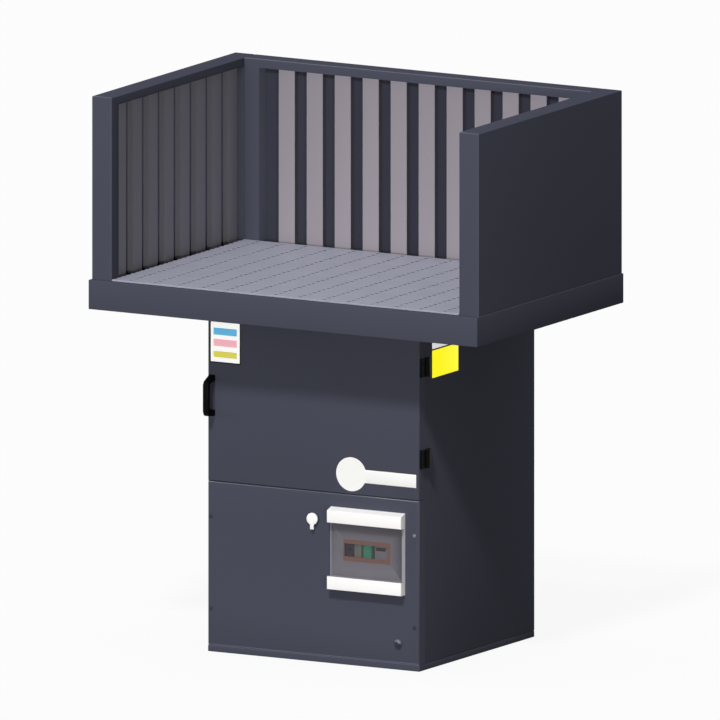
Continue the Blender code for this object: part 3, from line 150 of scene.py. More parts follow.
class BenchColours(bpy.types.PropertyGroup):
    """Colours of the finishes."""

    paint: colour_property("Paint", "Casing paint", 73, 75, 89)
    slats: colour_property("Slats", "Slat paint", 158, 151, 159)
    # Painted shade: the same slats as at the back, in a darker copy of their colour.
    painted_shade_side_slats: colour_property("Side slats", "Slat paint at the sides", 133, 132, 145)
    planks: colour_property("Planks", "Plank steel", 162, 163, 178)
    black: colour_property("Black", "Handle and hinges", 6, 6, 7)
    white: colour_property("White", "Power box and lever", 254, 253, 254)
    smoke: colour_property("Smoke", "Flap of the power box", 100, 98, 106)
    mask: colour_property("Mask", "Plate behind the flap", 140, 138, 147)
    green: colour_property("Green", "Green rail modules", 56, 156, 120)
    # Painted shade: a grey that stands for the white frame's rim in shade.
    rim: colour_property("Rim", "Rims beside the flap", 152, 151, 156)
    paper: colour_property("Paper", "Filter paper", 228, 226, 216)
    yellow: colour_property("Yellow", "Side plate", 250, 240, 30)


class StageSettings(bpy.types.PropertyGroup):
    """Camera, lamps and floor."""

    view_width: length_property("View width", "Width that the camera sees", 1.6106)
    azimuth: angle_property("Azimuth", "Camera turned to the right", 29.6)
    elevation: angle_property("Elevation", "Camera above the horizon", 10.0)
    key_power: power_property("Key", "Strength of the high lamp on the front right", 1.9)
    front_power: power_property("Front fill", "Strength of the low lamp in front", 1.0)
    right_power: power_property("Right fill", "Strength of the low lamp on the right", 0.56)
    top_power: power_property("Top fill", "Strength of the lamp overhead", 0.52)
    back_power: power_property("Back fill", "Strength of the lamp behind", 1.6)
    side_power: power_property("Left fill", "Strength of the low lamp on the left", 1.2)
    ambient: power_property("Ambient", "Light from all round", 0.2)


class Wire:
    """A socket in a node tree. Arithmetic on it adds Math nodes."""

    def __init__(self, nodes, socket):
        self.nodes = nodes
        self.socket = socket

    def math(self, operation, other):
        """Add a Math node on this socket."""
        return self.nodes.node("ShaderNodeMath", {"operation": operation}, {0: self, 1: other})

    def __add__(self, other):
        return self.math("ADD", other)

    __radd__ = __add__

    def __mul__(self, other):
        return self.math("MULTIPLY", other)

    __rmul__ = __mul__


class Nodes:
    """A node tree in the making."""

    def __init__(self, tree):
        self.tree = tree

    def feed(self, socket, value):
        """Link or set one input socket."""
        if isinstance(value, Wire):
            self.tree.links.new(value.socket, socket)
        elif hasattr(socket.default_value, "__len__"):
            width = len(socket.default_value)
            socket.default_value = (*value, 1.0)[:width]
        else:
            socket.default_value = value

    def node(self, kind, settings=None, values=None, output=0):
        """Add a node with its settings and inputs, and return one of its outputs."""
        made = self.tree.nodes.new(kind)
        for name, value in (settings or {}).items():
            setattr(made, name, value)
        for name, value in (values or {}).items():
            self.feed(made.inputs[name], value)
        return Wire(self, made.outputs[output])

    def seen_rays(self):
        """Return 1 for rays that show a thing in the view, a reflection or through glass."""
        seen = self.node("ShaderNodeLightPath", output="Is Camera Ray")
        for other in ("Is Glossy Ray", "Is Transmission Ray"):
            seen = seen.math("MAXIMUM", self.node("ShaderNodeLightPath", output=other))
        return seen


class Finish(Nodes):
    """A material in the making, around its Principled shader."""

    def __init__(self, name, shine=0.5, **steady):
        self.material = bpy.data.materials.new(name)
        self.material.use_nodes = True
        super().__init__(self.material.node_tree)
        self.shader = self.tree.nodes["Principled BSDF"]
        self.place = self.node("ShaderNodeTexCoord", output="Object")
        self.set("Specular IOR Level", shine)
        for socket, value in steady.items():
            self.set(socket.title(), value)

    def set(self, name, value):
        """Set or link an input of the shader."""
        self.feed(self.shader.inputs[name], value)

    def noise(self, scale, detail=2.0, roughness=0.5, place=None):
        """Add a noise texture in object space."""
        values = {"Scale": scale, "Detail": detail, "Roughness": roughness}
        return self.node("ShaderNodeTexNoise", {}, {"Vector": place or self.place, **values})

    def mix(self, first, second, factor):
        """Mix two colours by the node's colour inputs and output."""
        return self.node(
            "ShaderNodeMix", {"data_type": "RGBA", "clamp_factor": True},
            {0: factor, 6: first, 7: second}, 2,
        )

    def toned(self, colour, dark, light, factor):
        """Vary the base colour between a darker and a lighter shade of it."""
        self.set("Base Color", self.mix(shade(colour, dark), shade(colour, light), factor))

    def spread(self, noise, low, high):
        """Map a noise onto a range."""
        return self.node(
            "ShaderNodeMapRange", {"clamp": True},
            {"Value": noise, "From Min": 0.3, "From Max": 0.7, "To Min": low, "To Max": high},
        )

    def bump(self, height, distance, strength):
        """Feed a height into the shader's normal."""
        values = {"Height": height, "Distance": distance, "Strength": strength}
        self.set("Normal", self.node("ShaderNodeBump", {}, values))

    def stretched(self, *scale):
        """Return object coordinates scaled along each axis."""
        return self.node("ShaderNodeMapping", {}, {"Vector": self.place, "Scale": scale})


def shade(colour, share):
    """Return a colour with its brightness scaled."""
    return tuple(value * share for value in colour)


def powder_coat(name, colour, roughness=0.5, shine=0.0):
    """Make powder coat: fine orange peel with faint clouds in tone."""
    coating = Finish(name, shine)
    coating.toned(colour, 0.99, 1.015, coating.spread(coating.noise(3.0, 3.0), 0.0, 1.0))
    peel = coating.noise(260.0, 2.0)
    coating.set("Roughness", coating.spread(peel, roughness - 0.03, roughness + 0.03))
    coating.bump(coating.noise(700.0, 1.0), 0.00004, 0.35)
    return coating.material


def rolled_steel(
    name, colour, roughness=0.38, metallic=0.35, grain=(600.0, 14.0, 600.0), shine=0.5,
):
    """Make rolled or zinc-coated steel with a grain along one axis."""
    steel = Finish(name, shine, metallic=metallic)
    lines = steel.noise(1.0, 3.0, 0.6, steel.stretched(*grain))
    clouds = steel.noise(14.0, 3.0)
    steel.toned(colour, 0.93, 1.06, steel.spread(lines * 0.6 + clouds * 0.4, 0.0, 1.0))
    steel.set("Roughness", steel.spread(lines, roughness - 0.05, roughness + 0.07))
    steel.bump(lines, 0.00002, 0.3)
    return steel.material


def moulded_plastic(name, colour, roughness=0.42, grain=1400.0, shine=0.1, glow=0.0):
    """Make moulded plastic or foil with a fine grain. A glow, where given, is painted light that
    keeps a foil bright in shade.
    """
    plastic = Finish(name, shine)
    plastic.set("Emission Color", colour)
    plastic.set("Emission Strength", glow)
    fine = plastic.noise(grain, 1.0)
    plastic.toned(colour, 0.96, 1.04, plastic.noise(9.0))
    plastic.set("Roughness", plastic.spread(fine, roughness - 0.04, roughness + 0.05))
    plastic.bump(fine, 0.00003, 0.3)
    return plastic.material


def foil(name, colour, glow=0.0, roughness=0.4):
    """Make the coarser, flatter plastic of stuck-on plates."""
    return moulded_plastic(name, colour, roughness, 300.0, glow=glow)


def smoked_flap(name, colour):
    """Make the see-through smoked plastic of the power box's flap."""
    flap = Finish(name, 0.12)
    haze = flap.noise(40.0, 2.0)
    flap.toned(colour, 0.9, 1.1, haze)
    flap.set("Roughness", flap.spread(haze, 0.10, 0.16))
    flap.set("Alpha", flap.spread(haze, 0.20, 0.22))
    return flap.material


def folded_paper(name, colour):
    """Make filter paper with fibres and a little dust."""
    paper = Finish(name, roughness=0.9)
    fibres = paper.noise(900.0, 4.0, 0.7)
    dust = paper.spread(paper.noise(30.0, 3.0), 0.0, 0.4)
    clean = paper.mix(shade(colour, 0.92), colour, fibres)
    paper.set("Base Color", paper.mix(clean, shade(colour, 0.8), dust))
    paper.bump(fibres, 0.0002, 0.5)
    return paper.material


# Lighter and darker copies of the casing's paint, which are painted light and painted shade on
# faces by how light falls on them, the display colours of small mouldings, and those of the
# foils with their glow, which is painted light.
PAINT_SHADES = {
    # Shares above 1 are painted light, those below 1 painted shade.
    "return": 1.25, "recess": 0.62, "pale_recess": 1.85, "inner": 0.77, "outer": 0.86,
}
MOULDINGS = {
    "grey_moulding": (138, 135, 142), "dark_moulding": (42, 38, 44),
    "pale_moulding": (122, 134, 120), "amber_moulding": (150, 106, 92),
    "ruby_moulding": (46, 8, 24),
}
FOILS = {
    "white_foil": ((250, 250, 250), 0.42), "grey_foil": ((240, 240, 240), 0.5),
    "blue_foil": ((96, 176, 220), 0.4), "rose_foil": ((240, 176, 190), 0.4),
    "straw_foil": ((214, 206, 90), 0.4),
}


def make_finishes(colours):
    """Make every finish of the bench once."""
    paint, slats, painted_shade_side_slats = colours.paint, colours.slats, colours.painted_shade_side_slats
    turned, cast = (200.0, 200.0, 30.0), (60.0, 60.0, 60.0)
    screw = {"roughness": 0.4, "metallic": 0.2, "grain": (300.0, 300.0, 30.0), "shine": 0.2}
    finishes = {
        "paint": powder_coat("blue_grey_coat", paint),
        "hem": powder_coat("hem_coat", paint, 0.36, 0.5),
        # Painted highlight: a much lighter copy of the paint for edge roundings that face the
        # lamps.
        "painted_highlight": powder_coat("painted_highlight_coat", shade(paint, 1.9), 0.36, 0.4),
        "slats": powder_coat("light_slat_coat", slats, 0.45),
        # Painted shade: a darker copy of the slat paint for the racks at the sides.
        "painted_shade_side_slats": powder_coat("painted_shade_side_slat_coat", painted_shade_side_slats, 0.45),
        # Painted shade: the slats' flanks in a copy of their paint at half brightness.
        "painted_shade_slat_fold": powder_coat("painted_shade_slat_fold_coat", shade(slats, 0.5), 0.45),
        # Painted light: the side slats' legs in a lighter copy of their paint.
        "painted_light_side_fold": powder_coat("painted_light_side_fold_coat", shade(painted_shade_side_slats, 1.34), 0.45),
        "plank": rolled_steel("plank_zinc", colours.planks, 0.5, 0.05, shine=0.05),
        # Painted shade: the walls of the notches in a darker copy of the plank steel.
        "painted_shade_notch_wall": rolled_steel(
            "painted_shade_notch_wall_steel", shade(colours.planks, 0.66), 0.6, 0.0, shine=0.0,
        ),
        "steel": rolled_steel("dark_screw_steel", linear(44, 45, 54), **screw),
        # Painted highlight: a lighter steel for the one screw that catches the light.
        "screw_zinc": rolled_steel("screw_zinc", linear(118, 120, 132), **screw),
        "zinc": rolled_steel("cap_zinc", linear(160, 162, 166), 0.36, 0.8, turned),
        "alloy": rolled_steel("cast_alloy", linear(172, 174, 178), 0.45, 0.7, cast),
        "motor": powder_coat("motor_enamel", linear(58, 74, 92), 0.4),
        "black": moulded_plastic("black_moulding", colours.black, 0.45, shine=0.04),
        "white": moulded_plastic("white_moulding", colours.white, 0.35),
        "smoked": smoked_flap("smoked_flap", colours.smoke),
        "mask": moulded_plastic("mask_plate", colours.mask, 0.5),
        # Painted shade: a grey coat for the rims of the white frame beside the flap.
        "rim": moulded_plastic("rim_moulding", colours.rim, 0.5),
        # Painted shade: a darker copy of the rim grey for rims left of the flap and faces turned
        # to the left.
        "painted_deep_shade_rim": moulded_plastic("painted_deep_shade_rim_moulding", shade(colours.rim, 0.42), 0.5),
        "green_plastic": moulded_plastic("green_moulding", colours.green, 0.5),
        "paper": folded_paper("filter_paper", colours.paper),
        "vinyl": foil("white_vinyl", linear(248, 248, 248)),
        # Painted shadow: the dark vinyl that edges the door card.
        "dark_vinyl": foil("dark_vinyl", linear(34, 34, 40)),
        # Painted light: the side plate's foil glows so that it stays bright in shade.
        "yellow_foil": foil("yellow_foil", colours.yellow, 0.78, 0.45),
    }
    # Painted light and painted shade: lighter and darker copies of the paint.
    for name, share in PAINT_SHADES.items():
        finishes[name] = powder_coat(name + "_coat", shade(paint, share))
    for name, steps in MOULDINGS.items():
        finishes[name] = moulded_plastic(name, linear(*steps), 0.5)
    # The foils' glow is painted light that keeps them bright in shade.
    for name, (steps, glow) in FOILS.items():
        finishes[name] = foil(name, linear(*steps), glow)
    return finishes


FINISHES = {}
# The slot of each finish that isn't a slot of its own.
SLOTS = {
    "pale_recess": "paint", "screw_zinc": "steel", "painted_shade_side_slats": "slats",
    "vinyl": "white", "dark_vinyl": "black", "yellow_foil": "white",
    **dict.fromkeys(MOULDINGS, "grey_plastic"), **dict.fromkeys(FOILS, "white"),
}

# The coats of a piece. The first is its own, and single faces take the others.
# Apart from paint and hem, these coats are painted light and painted shade: lighter or darker
# copies of the paint.
CASING_COATS = (
    "paint", "hem", "recess", "painted_highlight", "pale_recess", "return", "inner", "outer",
)
# After hem, the pans' coats are painted light: a lighter edge and a lighter return.
PAN_COATS = ("paint", "hem", "painted_highlight", "return")
PLANK_COATS = ("plank", "painted_shade_notch_wall")
BOX_COATS = ("white", "mask", "rim", "painted_deep_shade_rim")


def meshed(name, bm):
    """End the work on a mesh and return its data."""
    mesh = bpy.data.meshes.new(name)
    bm.to_mesh(mesh)
    bm.free()
    return mesh


def placed(name, data):
    """Put an object with some data into the scene."""
    made = bpy.data.objects.new(name, data)
    bpy.context.scene.collection.objects.link(made)
    return made


def piece(name, bm, coats, body=BENCH, replaced=()):
    """Turn a mesh in place into a finished piece that rides on a body."""
    coats = (coats,) if isinstance(coats, str) else coats
    mesh = meshed(name, bm)
    mesh.set_sharp_from_angle(angle=SHARP)
    for key in coats:
        mesh.materials.append(FINISHES[key])
    made = placed(name, mesh)
    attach(made, body)
    if replaced:
        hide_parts(*replaced)


def coat(face, coats, name):
    """Give a face one of its piece's coats."""
    face.material_index = coats.index(name)


def repaint(node, finish):
    """Give a carried-over node one of the finishes."""
    mesh = NODES[node].data
    mesh.materials.clear()
    mesh.materials.append(FINISHES[finish])


def copied(node, curved=False):
    """Return a merged copy of a node's mesh, with its flat faces joined."""
    bm = bmesh.new()
    bm.from_mesh(NODES[node].data)
    bmesh.ops.remove_doubles(bm, verts=bm.verts, dist=MERGE)
    bmesh.ops.dissolve_limit(bm, angle_limit=FLAT, verts=bm.verts, edges=bm.edges)
    for face in bm.faces:
        face.smooth = curved
    return bm


def rounded(bm, edges, radius, steps=2):
    """Round a choice of edges, with smooth shading on the rounding alone."""
    made = bmesh.ops.bevel(
        bm, geom=list(edges), offset=radius, segments=steps, profile=0.5,
        affect="EDGES", material=-1, clamp_overlap=True,
    )
    for face in made["faces"]:
        face.smooth = True


def folds(bm, turn=SQUARE):
    """Return the edges that turn by more than an angle."""
    return [edge for edge in bm.edges if edge.calc_face_angle(0.0) > turn]


def verts_of(made):
    """Return the vertices among an operator's results."""
    return [item for item in made["geom"] if isinstance(item, bmesh.types.BMVert)]


def on_level(edge, axis, level):
    """Tell whether an edge lies on a level of an axis."""
    return all(abs(vert.co[axis] - level) < ON_LEVEL for vert in edge.verts)


def outer_edges(bm, node, with_bottom):
    """Return the edges that lie on two sides of a node's box."""
    low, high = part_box(node)
    sides = [(axis, end[axis]) for end in (low, high) for axis in range(3)]
    bottom = (2, low[2])
    found = []
    for edge in bm.edges:
        on = [side for side in sides if on_level(edge, *side)]
        if len(on) >= 2 and (with_bottom or bottom not in on):
            found.append(edge)
    return found


def box(bm, low, high):
    """Add a box between two corners and return its vertices."""
    low, high = Vector(low), Vector(high)
    place = Matrix.Translation((low + high) / 2) @ Matrix.Diagonal((high - low).to_4d())
    return bmesh.ops.create_cube(bm, size=1.0, matrix=place)["verts"]


def soft_box(bm, low, high, radius, steps=2):
    """Add a box with rounded edges."""
    edges = {edge for vert in box(bm, low, high) for edge in vert.link_edges}
    rounded(bm, edges, radius, steps)


def block(name, finish, low, high, radius, body=BENCH):
    """Make a piece of one box with rounded edges."""
    bm = bmesh.new()
    soft_box(bm, low, high, radius)
    piece(name, bm, finish, body)


def disc(bm, centre, radius, depth, axis, sides=32, top=None):
    """Add a closed cylinder or cone whose axis runs along X, Y or Z."""
    made = bmesh.ops.create_cone(
        bm, cap_ends=True, segments=sides, radius1=radius,
        radius2=radius if top is None else top, depth=depth,
        matrix=Matrix.Translation(centre) @ TURNS[axis],
    )
    for face in {face for vert in made["verts"] for face in vert.link_faces}:
        face.smooth = len(face.verts) == 4


def screw_head(bm, seat, axis, radius):
    """Add a domed screw head with a cross, standing on a face."""
    head = bmesh.new()
    disc(head, (0.0, 0.0, radius * 0.1), radius, radius * 0.3, "Z", 24)
    top = max(head.faces, key=lambda face: face.calc_center_median().z)
    for rise in (0.096, 0.066):
        bmesh.ops.inset_region(
            head, faces=[top], thickness=radius * 0.22, use_even_offset=True,
        )
        bmesh.ops.translate(head, verts=top.verts, vec=(0.0, 0.0, radius * rise))
    reach, width, foot, height = (radius * share for share in (0.55, 0.09, 0.2, 0.4))
    box(head, (-reach, -width, foot), (reach, width, height))
    box(head, (-width, -reach, foot), (width, reach, height * 1.01))
    head.transform(Matrix.Translation(seat) @ TURNS[axis])
    mesh = meshed("screw_head", head)
    bm.from_mesh(mesh)
    bpy.data.meshes.remove(mesh)


def middle(node):
    """Return the middle of a node's box."""
    low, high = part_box(node)
    return (Vector(low) + Vector(high)) / 2


class BenchStep(bpy.types.Operator):
    """Base of the bench's operators."""

    bl_options = {"REGISTER", "UNDO"}

    @property
    def sizes(self):
        """Return the sizes of the scene."""
        return bpy.context.scene.bench_sizes


class BENCH_OT_casing(BenchStep):
    """Round the folded edges of the hood, tray and cabinet sheets"""

    bl_idname = "bench.casing"
    bl_label = "Casing"

    def execute(self, context):
        sizes = self.sizes
        for node in (*HOOD_WALLS, "tray", "left_side", "right_side", "base_plate", "back_panel"):
            bm = copied(node)
            radius = sizes.tray_radius if node == "tray" else sizes.sheet_radius
            rounded(bm, outer_edges(bm, node, node not in HOOD_WALLS), radius, 3)
            if node in (*HOOD_WALLS, "base_plate"):
                self.coat_front_hem(bm, node)
            if node in (*HOOD_SIDES, "tray"):
                self.coat_sides(bm, node)
            if node == "back_hood_wall":
                self.coat_back_recess(bm, node)
            piece(node + "_sheet", bm, CASING_COATS, replaced=(node,))
        for node, body in (("service_cover", BENCH), ("filter_door", "door")):
            bm = copied(node)
            self.widen_hem(bm, node, sizes.pan_radius, sizes.hem_radius)
            # Painted light: the pan's right-facing faces take a lighter copy of the paint.
            for face in bm.faces:
                if face.normal.x > 0.99:
                    coat(face, PAN_COATS, "return")
            piece(node + "_pan", bm, PAN_COATS, body, (node,))
        piece("fan_deck_sheet", copied("fan_deck", True), "paint", replaced=("fan_deck",))
        return {"FINISHED"}

    def coat_front_hem(self, bm, node):
        """Mark the roundings along a sheet's front: those turned right get a lighter coat,
        painted light, the base plate's upper one a painted highlight, and the others up or down
        the glossier hem.
        """
        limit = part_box(node)[0][1] + self.sizes.sheet_radius
        for face in bm.faces:
            if not face.smooth or face.calc_center_median().y >= limit:
                continue
            if face.normal.x > 0.2 > face.normal.z:
                coat(face, CASING_COATS, "return")
            if abs(face.normal.z) > 0.3:
                takes_painted_highlight = node == "base_plate" and face.normal.z > 0.0
                coat(face, CASING_COATS, "painted_highlight" if takes_painted_highlight else "hem")

    def coat_sides(self, bm, node):
        """Mark the outer faces of a side and the inner faces of a wall with darker paint,
        painted shade, and the recessed faces of a wall with lighter paint, painted light.
        """
        low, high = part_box(node)
        near, far = sorted((abs(low[0]), abs(high[0])))
        for face in bm.faces:
            centre = face.calc_center_median()
            if abs(face.normal.x) > FACING and abs(centre.x) > far - SKIN:
                coat(face, CASING_COATS, "outer")
            if node == "tray" or face.smooth:
                continue
            if abs(centre.x) < near + SKIN:
                coat(face, CASING_COATS, "inner")
            within = all(low[axis] + SKIN < centre[axis] < high[axis] - SKIN for axis in (0, 1))
            if within and abs(face.normal.z) < 0.5:
                coat(face, CASING_COATS, "pale_recess")

    def coat_back_recess(self, bm, node):
        """Mark the floor of the back wall's recess with darker paint, painted shade, and its
        side that faces right with lighter paint, painted light.
        """
        low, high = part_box(node)
        recess_start, right_border = low[1] + 0.005, high[0] - 0.010
        for face in bm.faces:
            centre = face.calc_center_median()
            if not recess_start < centre.y < high[1] - SKIN:
                continue
            if face.normal.y < -FACING:
                coat(face, CASING_COATS, "recess")
            elif face.normal.x > FACING and centre.x < right_border:
                coat(face, CASING_COATS, "pale_recess")

    def widen_hem(self, bm, node, old, new):
        """Widen the rounding round the front of a folded pan and mark it: the glossier hem
        above, and on the cover a lighter coat below, a painted highlight.
        """
        low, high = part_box(node)
        hem = set()
        for vert in bm.verts:
            depth = vert.co.y - low[1]
            near = [
                (axis, level) for axis in (0, 2) for level in (low[axis], high[axis])
                if abs(vert.co[axis] - level) < old + MERGE
            ]
            if near and depth < old + MERGE:
                hem.add(vert)
                vert.co.y = low[1] + depth * new / old
                for axis, level in near:
                    vert.co[axis] = level + (vert.co[axis] - level) * new / old
        bm.normal_update()
        for face in bm.faces:
            if max(abs(part) for part in face.normal) < 0.999 and hem.issuperset(face.verts):
                face.smooth = True
                if face.normal.z > 0.3:
                    coat(face, PAN_COATS, "hem")
                elif face.normal.z < -0.3 and node == "service_cover":
                    coat(face, PAN_COATS, "painted_highlight")


class BENCH_OT_planks(BenchStep):
    """Make the planks with half-oval notches along both edges"""

    bl_idname = "bench.planks"
    bl_label = "Planks"

    def execute(self, context):
        for index in range(PLANKS):
            self.plank(f"plank_{index + 1:02d}")
        return {"FINISHED"}

    def cell(self, half):
        """Make a flat cell as wide as the plank, with half an oval cut into each side."""
        radius, reach = self.sizes.notch_radius, self.sizes.notch_pitch / 2
        bm = bmesh.new()
        start = bm.verts.new((-half, -radius, 0.0))
        bmesh.ops.spin(
            bm, geom=[start], cent=(-half, 0.0, 0.0), axis=(0.0, 0.0, 1.0),
            angle=math.pi, steps=10,
        )
        bmesh.ops.scale(
            bm, vec=(self.sizes.notch_share, 1.0, 1.0), verts=bm.verts,
            space=Matrix.Translation((half, 0.0, 0.0)),
        )
        for sign in (-1, 1):
            end = Vector((-half, sign * radius, 0.0))
            tip = min(bm.verts, key=lambda vert: (vert.co - end).length)
            land = bmesh.ops.extrude_vert_indiv(bm, verts=[tip])["verts"]
            bmesh.ops.translate(bm, verts=land, vec=(0.0, sign * (reach - radius), 0.0))
        bmesh.ops.mirror(bm, geom=bm.verts[:] + bm.edges[:], axis="X", merge_dist=0.0)
        for sign in (-1, 1):
            ends = [vert for vert in bm.verts if abs(vert.co.y - sign * reach) < MERGE]
            bmesh.ops.contextual_create(bm, geom=ends)
        bmesh.ops.contextual_create(bm, geom=bm.edges[:])
        return bm

    def plank(self, node):
        """Make one plank from a row of cells, cut to length, with a web at each side."""
        rim_share = 0.12
        web_inset, web_sheet, front_gap, back_gap = 0.0098, 0.0025, 0.026, 0.0195
        sizes = self.sizes
        low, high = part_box(node)
        centre, half = (low[0] + high[0]) / 2, (high[0] - low[0]) / 2
        bm = self.cell(half)
        cell = bm.verts[:] + bm.edges[:] + bm.faces[:]
        for index in range(1, sizes.notch_count):
            moved = verts_of(bmesh.ops.duplicate(bm, geom=cell))
            bmesh.ops.translate(bm, verts=moved, vec=(0.0, index * sizes.notch_pitch, 0.0))
        bmesh.ops.remove_doubles(bm, verts=bm.verts, dist=MERGE)
        place = (centre, low[1] + sizes.notch_start, high[2])
        bmesh.ops.translate(bm, verts=bm.verts, vec=place)
        for level, side in ((low[1] + sizes.plank_setback, -1.0), (high[1], 1.0)):
            bmesh.ops.bisect_plane(
                bm, geom=bm.verts[:] + bm.edges[:] + bm.faces[:], plane_co=(0.0, level, 0.0),
                plane_no=(0.0, side, 0.0), clear_outer=True, dist=MERGE / 4,
            )
        sunk = verts_of(bmesh.ops.extrude_face_region(bm, geom=bm.faces[:]))
        bmesh.ops.translate(bm, verts=sunk, vec=(0.0, 0.0, -sizes.plank_sheet))
        bmesh.ops.recalc_face_normals(bm, faces=bm.faces)
        bm.normal_update()
        rims = [edge for edge in folds(bm) if on_level(edge, 2, high[2])]
        rounded(bm, rims, sizes.plank_sheet * rim_share, 1)
        for face in bm.faces:
            # Painted shade: the notch walls take the darker coat.
            if abs(face.normal.z) < 0.5 and 0.02 < abs(face.normal.y) < 0.999:
                coat(face, PLANK_COATS, "painted_shade_notch_wall")
        for sign in (-1, 1):
            web = centre + sign * (half - web_inset - web_sheet / 2)
            box(
                bm, (web - web_sheet / 2, low[1] + front_gap, low[2]),
                (web + web_sheet / 2, high[1] - back_gap, high[2] - sizes.plank_sheet / 2),
            )
        piece(node + "_steel", bm, PLANK_COATS, replaced=(node,))


class BENCH_OT_slats(BenchStep):
    """Round the folds of the slat racks and close the hood's corners. The back slats' flanks
    take painted shade and the side slats' legs painted light.
    """

    bl_idname = "bench.slats"
    bl_label = "Slats"

    def execute(self, context):
        for side, axis, end, flat, fold in (
            ("left", 0, 1, "painted_shade_side_slats", "painted_light_side_fold"),
            ("right", 0, 0, "painted_shade_side_slats", "painted_light_side_fold"), ("back", 1, 0, "slats", "painted_shade_slat_fold"),
        ):
            node = side + "_slat_rack"
            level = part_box(node)[end][axis]
            bm = copied(node)
            front = [edge for edge in folds(bm) if on_level(edge, axis, level)]
            rounded(bm, front, self.sizes.slat_radius)
            bm.normal_update()
            # Painted shade on the back slats' flanks, painted light on the side slats' legs.
            for face in bm.faces:
                if not face.smooth and abs(face.normal[1 - axis]) > 0.6:
                    coat(face, (flat, fold), fold)
            piece(side + "_slats", bm, (flat, fold), replaced=(node,))
            if side != "back":
                self.corner_strip(side, 1 - 2 * end)
        return {"FINISHED"}

    def corner_strip(self, side, sign):
        """Close the slot between a side wall's recess and the back wall with a sheet in lighter
        paint, painted light in the shaded corner.
        """
        sheet, setback, foot_gap, head_gap = 0.0015, 0.0030, 0.0003, 0.0203
        rack_gap, wall_gap = 0.0002, 0.0006
        low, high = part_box("back_hood_wall")
        outer = max(abs(end[0]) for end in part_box(side + "_slat_rack")) - rack_gap
        inner = high[0] + wall_gap
        left, right = sorted((sign * outer, sign * inner))
        front = low[1] + setback
        bm = bmesh.new()
        box(bm, (left, front, low[2] + foot_gap), (right, front + sheet, high[2] - head_gap))
        piece(side + "_corner_strip", bm, "pale_recess")


class BENCH_OT_handle(BenchStep):
    """Make the moulded pull handle of the door"""

    bl_idname = "bench.handle"
    bl_label = "Handle"

    def execute(self, context):
        bar_reach, bar_depth, wider = 0.038, 0.020, 1.2
        longer, thicker_inside, thicker_outside = 0.0012, 0.0022, 0.0008
        bm = copied("door_handle", True)
        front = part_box("door_handle")[0][1]
        centre = middle("door_handle")
        for vert in bm.verts:
            inner = abs(vert.co.z - centre.z) < bar_reach
            vert.co.x = centre.x + (vert.co.x - centre.x) * wider
            if inner:
                vert.co.z -= math.copysign(longer, vert.co.z - centre.z)
            if inner and vert.co.y < front + bar_depth:
                vert.co.y += thicker_inside
            elif vert.co.y < front + MERGE:
                vert.co.y -= thicker_outside
        rounded(bm, folds(bm, 0.5), self.sizes.handle_radius, 3)
        piece("pull_handle", bm, "black", "door", ("door_handle",))
        return {"FINISHED"}


class BENCH_OT_hinges(BenchStep):
    """Round the hinge leaves and set two screws in each"""

    bl_idname = "bench.hinges"
    bl_label = "Hinges"

    def execute(self, context):
        for level in ("upper", "lower"):
            for part, body in (("door", "door"), ("body", BENCH)):
                self.leaf(level, part, body)
            repaint(f"{level}_hinge_pin", "steel")
        return {"FINISHED"}

    def leaf(self, level, part, body):
        """Round the outer end of one leaf and set two screws in its plate."""
        plate_top, screw_radius, screw_reach = 0.0058, 0.0031, 0.011
        node = f"{level}_hinge_{part}_leaf"
        low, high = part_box(node)
        outer, screw_inset = (low[1], 0.0068) if part == "door" else (high[1], -0.0058)
        bm = copied(node, True)
        ends = [edge for edge in bm.edges if on_level(edge, 1, outer)]
        rounded(bm, ends, self.sizes.plastic_radius, 3)
        piece(node + "_moulding", bm, "black", body, (node,))
        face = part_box("right_side")[1][0] + plate_top
        bm = bmesh.new()
        for offset in (-screw_reach, screw_reach):
            seat = (face, outer + screw_inset, middle(node).z + offset)
            screw_head(bm, seat, "X", screw_radius)
        piece(f"{level}_hinge_{part}_screws", bm, "black", body)


